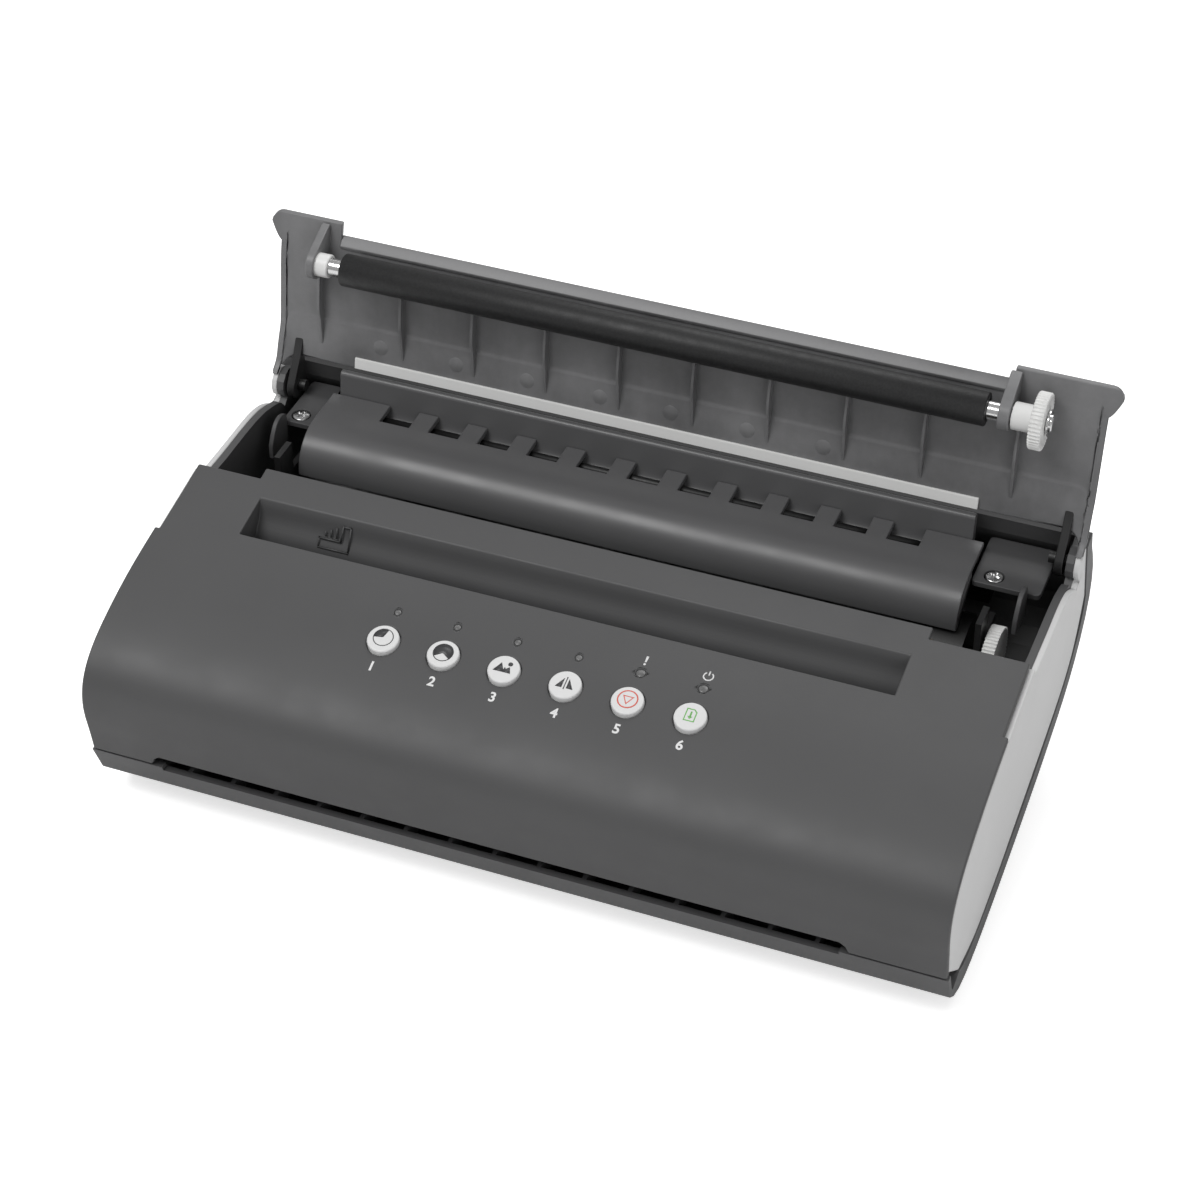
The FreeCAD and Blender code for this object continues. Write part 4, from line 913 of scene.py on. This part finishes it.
def rowAlong(line, count):
    # points at even steps along a broken line
    p = np.array(line, float)
    t = chordSums(p)
    s = np.linspace(0, t[-1], count)
    return np.stack([np.interp(s, t, p[:, 0]), np.interp(s, t, p[:, 1])], 1)


def makeGuide():
    g = guide
    first, pitch, wide, count, cut = g["notch"]
    left, right = g["ends"]
    # foot + (depth (1 - cos^p a), height sin^p a), where a power p under 1 fills the corner out
    a = np.radians(np.linspace(0, 90, 60))
    foot, top = np.array(g["foot"]), np.array(g["bend"])
    share = np.stack([1 - np.clip(np.cos(a), 0, 1) ** g["full"], np.sin(a) ** g["full"]], 1)
    bend = foot + (top - foot) * share
    front = np.concatenate([bend, [(cut, top[1])]])
    back = np.array([(cut, top[1]), ((cut + g["rear"]) / 2, top[1]), (g["rear"], top[1])])
    cuts = [first + pitch * i for i in range(count)]
    sides = [left] + [v for x in cuts for v in (x, x + wide)] + [right]
    grids = [acrossX(sides, front)]
    grids += [acrossX(sides[i:i + 2], back) for i in range(0, len(sides), 2)]
    surface("guide_skin", grids, "guide_satin", "base", stands=("paper_guide",), wall=g["wall"],
            edge=g["edge"])
    inner = sideways(bend, -g["wall"])
    chord = rowAlong(g["cheek"], len(inner))
    for i, x in enumerate((left + g["cheekIn"], right - g["wall"] - g["cheekIn"])):
        slab("guide_cheek_%d" % i, atX(x, inner), atX(x, chord), (g["wall"], 0, 0), "guide_satin", "base")
    y, z, r = g["shaft"]
    x0, x1 = left + g["shaftIn"], right - g["shaftIn"]
    rows = [(x0, 0), (x0, r), (x1, r), (x1, 0)]
    surface("guide_rod", [turnedX(rows, y, z, 32)], "shaft_dull", "base", stands=("guide_shaft",),
            closed=True)


def makeRearBar():
    # its front and its foot with its back, each up to the middle of the round crown
    b = bar
    crown = (b["y"], b["z"])
    back = b["y"] + b["radius"]
    foot = rowAlong(((b["front"], b["low"]), (back, b["low"]), (back, b["z"])), 20)
    front = np.concatenate([smoothLine(b["ramp"], 20), arcLine(crown, b["radius"], 180, 90, 12)[1:]])
    rear = np.concatenate([foot, arcLine(crown, b["radius"], 0, 90, 12)[1:]])
    left, right = b["ends"]
    slab("rear_bar", atX(left, front), atX(left, rear), (right - left, 0, 0), "guide_satin", "base",
         stands=("rear_guide_bar",), edge=b["edge"])


def makeFloorPlates():
    # a plate is the band between the screw's recess and a rounded outline, at the same angle from the screw
    p = plates
    r = p["round"]
    for i, (x0, x1, sx) in enumerate(p["sides"]):
        y0, y1 = p["y"]
        corners = (((x1 - r, y0 + r), -90, 0), ((x1 - r, y1 - r), 0, 90), ((x0 + r, y1 - r), 90, 180),
                   ((x0 + r, y0 + r), 180, 270))
        knots = np.concatenate([arcLine(c, r, a, b, 7) for c, a, b in corners])
        out = rowAlong(np.concatenate([knots, knots[:1]]), 97)[:-1]
        name = ("left", "right")[i]
        boredPlate("well_plate_" + name, (sx, p["screwY"]), p["bore"], out, *p["z"], "case_grey", "base",
                   flat=True, stands=("floor_plate_" + name,), edge=p["edge"])


def makeScrews():
    # a crowned head whose height drops inside a cross of two bars
    s = screws
    reach, half, deep = s["cross"]
    inset, drop = s["round"]
    r = np.concatenate([np.linspace(0, s["radius"] - inset, 26), [s["radius"], s["radius"], 0.0]])[:, None]
    a = np.linspace(0, 2 * np.pi, 97)[None] + 0 * r
    u, v = r * np.cos(a + s["turn"]), r * np.sin(a + s["turn"])
    bars = np.maximum((np.abs(u) < reach) & (np.abs(v) < half), (np.abs(v) < reach) & (np.abs(u) < half))
    z = s["top"] + s["crown"] * (1 - (r / s["radius"]) ** 2) - deep * bars
    z[-3] = s["top"] - drop
    z[-2:] = s["low"]
    grids = []
    for x0, x1, sx in plates["sides"]:
        g = np.stack([sx + r * np.cos(a), plates["screwY"] + r * np.sin(a), z], -1)
        g[:, -1] = g[:, 0]
        grids.append(g)
    surface("well_screws", grids, "screw_steel", "base", stands=("floor_screws",), closed=True)


def makeFingers():
    # top - nose (1 - a / crest)^p before the crest, and - heel ((a - crest) / (1 - crest))^q behind it
    f = fingers
    (y0, y1), (z0, z1), crest = f["y"], f["z"], f["crestShare"]
    a = np.linspace(0, 1, 24)
    y = y0 + (y1 - y0) * a
    high = z1 - f["nose"][0] * np.clip(1 - a / crest, 0, 1) ** f["nose"][1]
    high -= f["heel"][0] * np.clip((a - crest) / (1 - crest), 0, 1) ** f["heel"][1]
    rows = np.stack([y, high], 1), np.stack([y, np.full(len(y), z0)], 1)
    for i, x in enumerate(f["xs"]):
        slab("latch_finger_%d" % i, atX(x, rows[0]), atX(x, rows[1]), (f["thick"], 0, 0), "case_grey", "base",
             edge=f["edge"], stands=("latch_arms",) if i == 0 else ())


def makePanels():
    # under the machine, up its rear, down over the shoulder, and along the deck's line a gap inside it
    parts = [smoothLine(panels["low"], 90), panels["rear"], smoothLine(panels["shoulder"], 30)[::-1],
             sideways(deckLine, -panels["gap"])[::-6]]
    rim = rowAlong(np.concatenate(parts), 260)
    bulge = arcLine((hinge["y"], hinge["z"]), *lug["bulge"])
    lugRim = rowAlong(np.concatenate([lug["rear"], bulge, lug["front"]]), 60)
    near, far = panels["x"]
    for name, x0, x1 in (("left", -far, -near), ("right", near, far)):
        boredPlate("side_skin_" + name, panels["centre"], 0.0, rim, x0, x1, "panel_light", "base",
                   stands=("side_panel_" + name,), edge=panels["edge"])
        boredPlate("hinge_lug_" + name, lug["centre"], 0.0, lugRim, x0 + panels["play"], x1 - panels["play"],
                   "panel_light", "base", edge=lug["edge"])


def makeStackSign():
    # raised lines on the rear wall of the trough: a sheet standing in a tray, and three leaning strokes
    e = emboss
    half = e["line"] / 2
    face, topZ = e["top"][0] - e["proud"], e["top"][1]
    for i, line in enumerate(e["lines"]):
        p = np.array(line, float) * (e["wide"], e["high"]) + (e["left"], e["foot"])
        for j in range(len(p) - 1):
            along = (p[j + 1] - p[j]) / np.linalg.norm(p[j + 1] - p[j])
            off = np.array((-along[1], along[0])) * half
            ends = p[j] - along * half, p[j + 1] + along * half
            rows = [[(x, face + e["lean"] * (z - topZ), z) for x, z in (q + s * off for q in ends)]
                    for s in (-1, 1)]
            slab("stack_sign_%d_%d" % (i, j), rows[0], rows[1], (0, e["proud"] + e["root"], 0), "case_grey",
                 "base")


def makeStrip():
    # a leaning strip between the lower front and the upper rear edge of its CAD box
    t, count = tape, 6
    lo, hi = (np.array(v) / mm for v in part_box("lid_strip"))
    z = np.linspace(lo[2] + t["play"], hi[2] - t["play"], count)
    y = np.linspace(lo[1], hi[1] - t["back"], count)
    slab("lid_tape", atX(lo[0], np.stack([y, z], 1)), atX(lo[0], np.stack([y + t["thick"], z], 1)),
         (hi[0] - lo[0], 0, 0), "white_plastic", "lid", stands=("lid_strip",), edge=t["edge"])


makeCamera()
makeLight()
finishes = makeFinishes()
dressFrame()
makeFloor()
print("frame dressed")
makeCover()
makeKeys()
makeLamps()
makeSymbols()
makeNumerals()
makeLampSigns()
print("cover, keys and lamps")
makeLid()
makeLidRibs()
makeLidBearings()
makePlaten()
print("lid and platen")
makeGuide()
makeRearBar()
makeFloorPlates()
makeScrews()
makeFingers()
makePanels()
makeStrip()
makeStackSign()
print("guide, plates and panels")
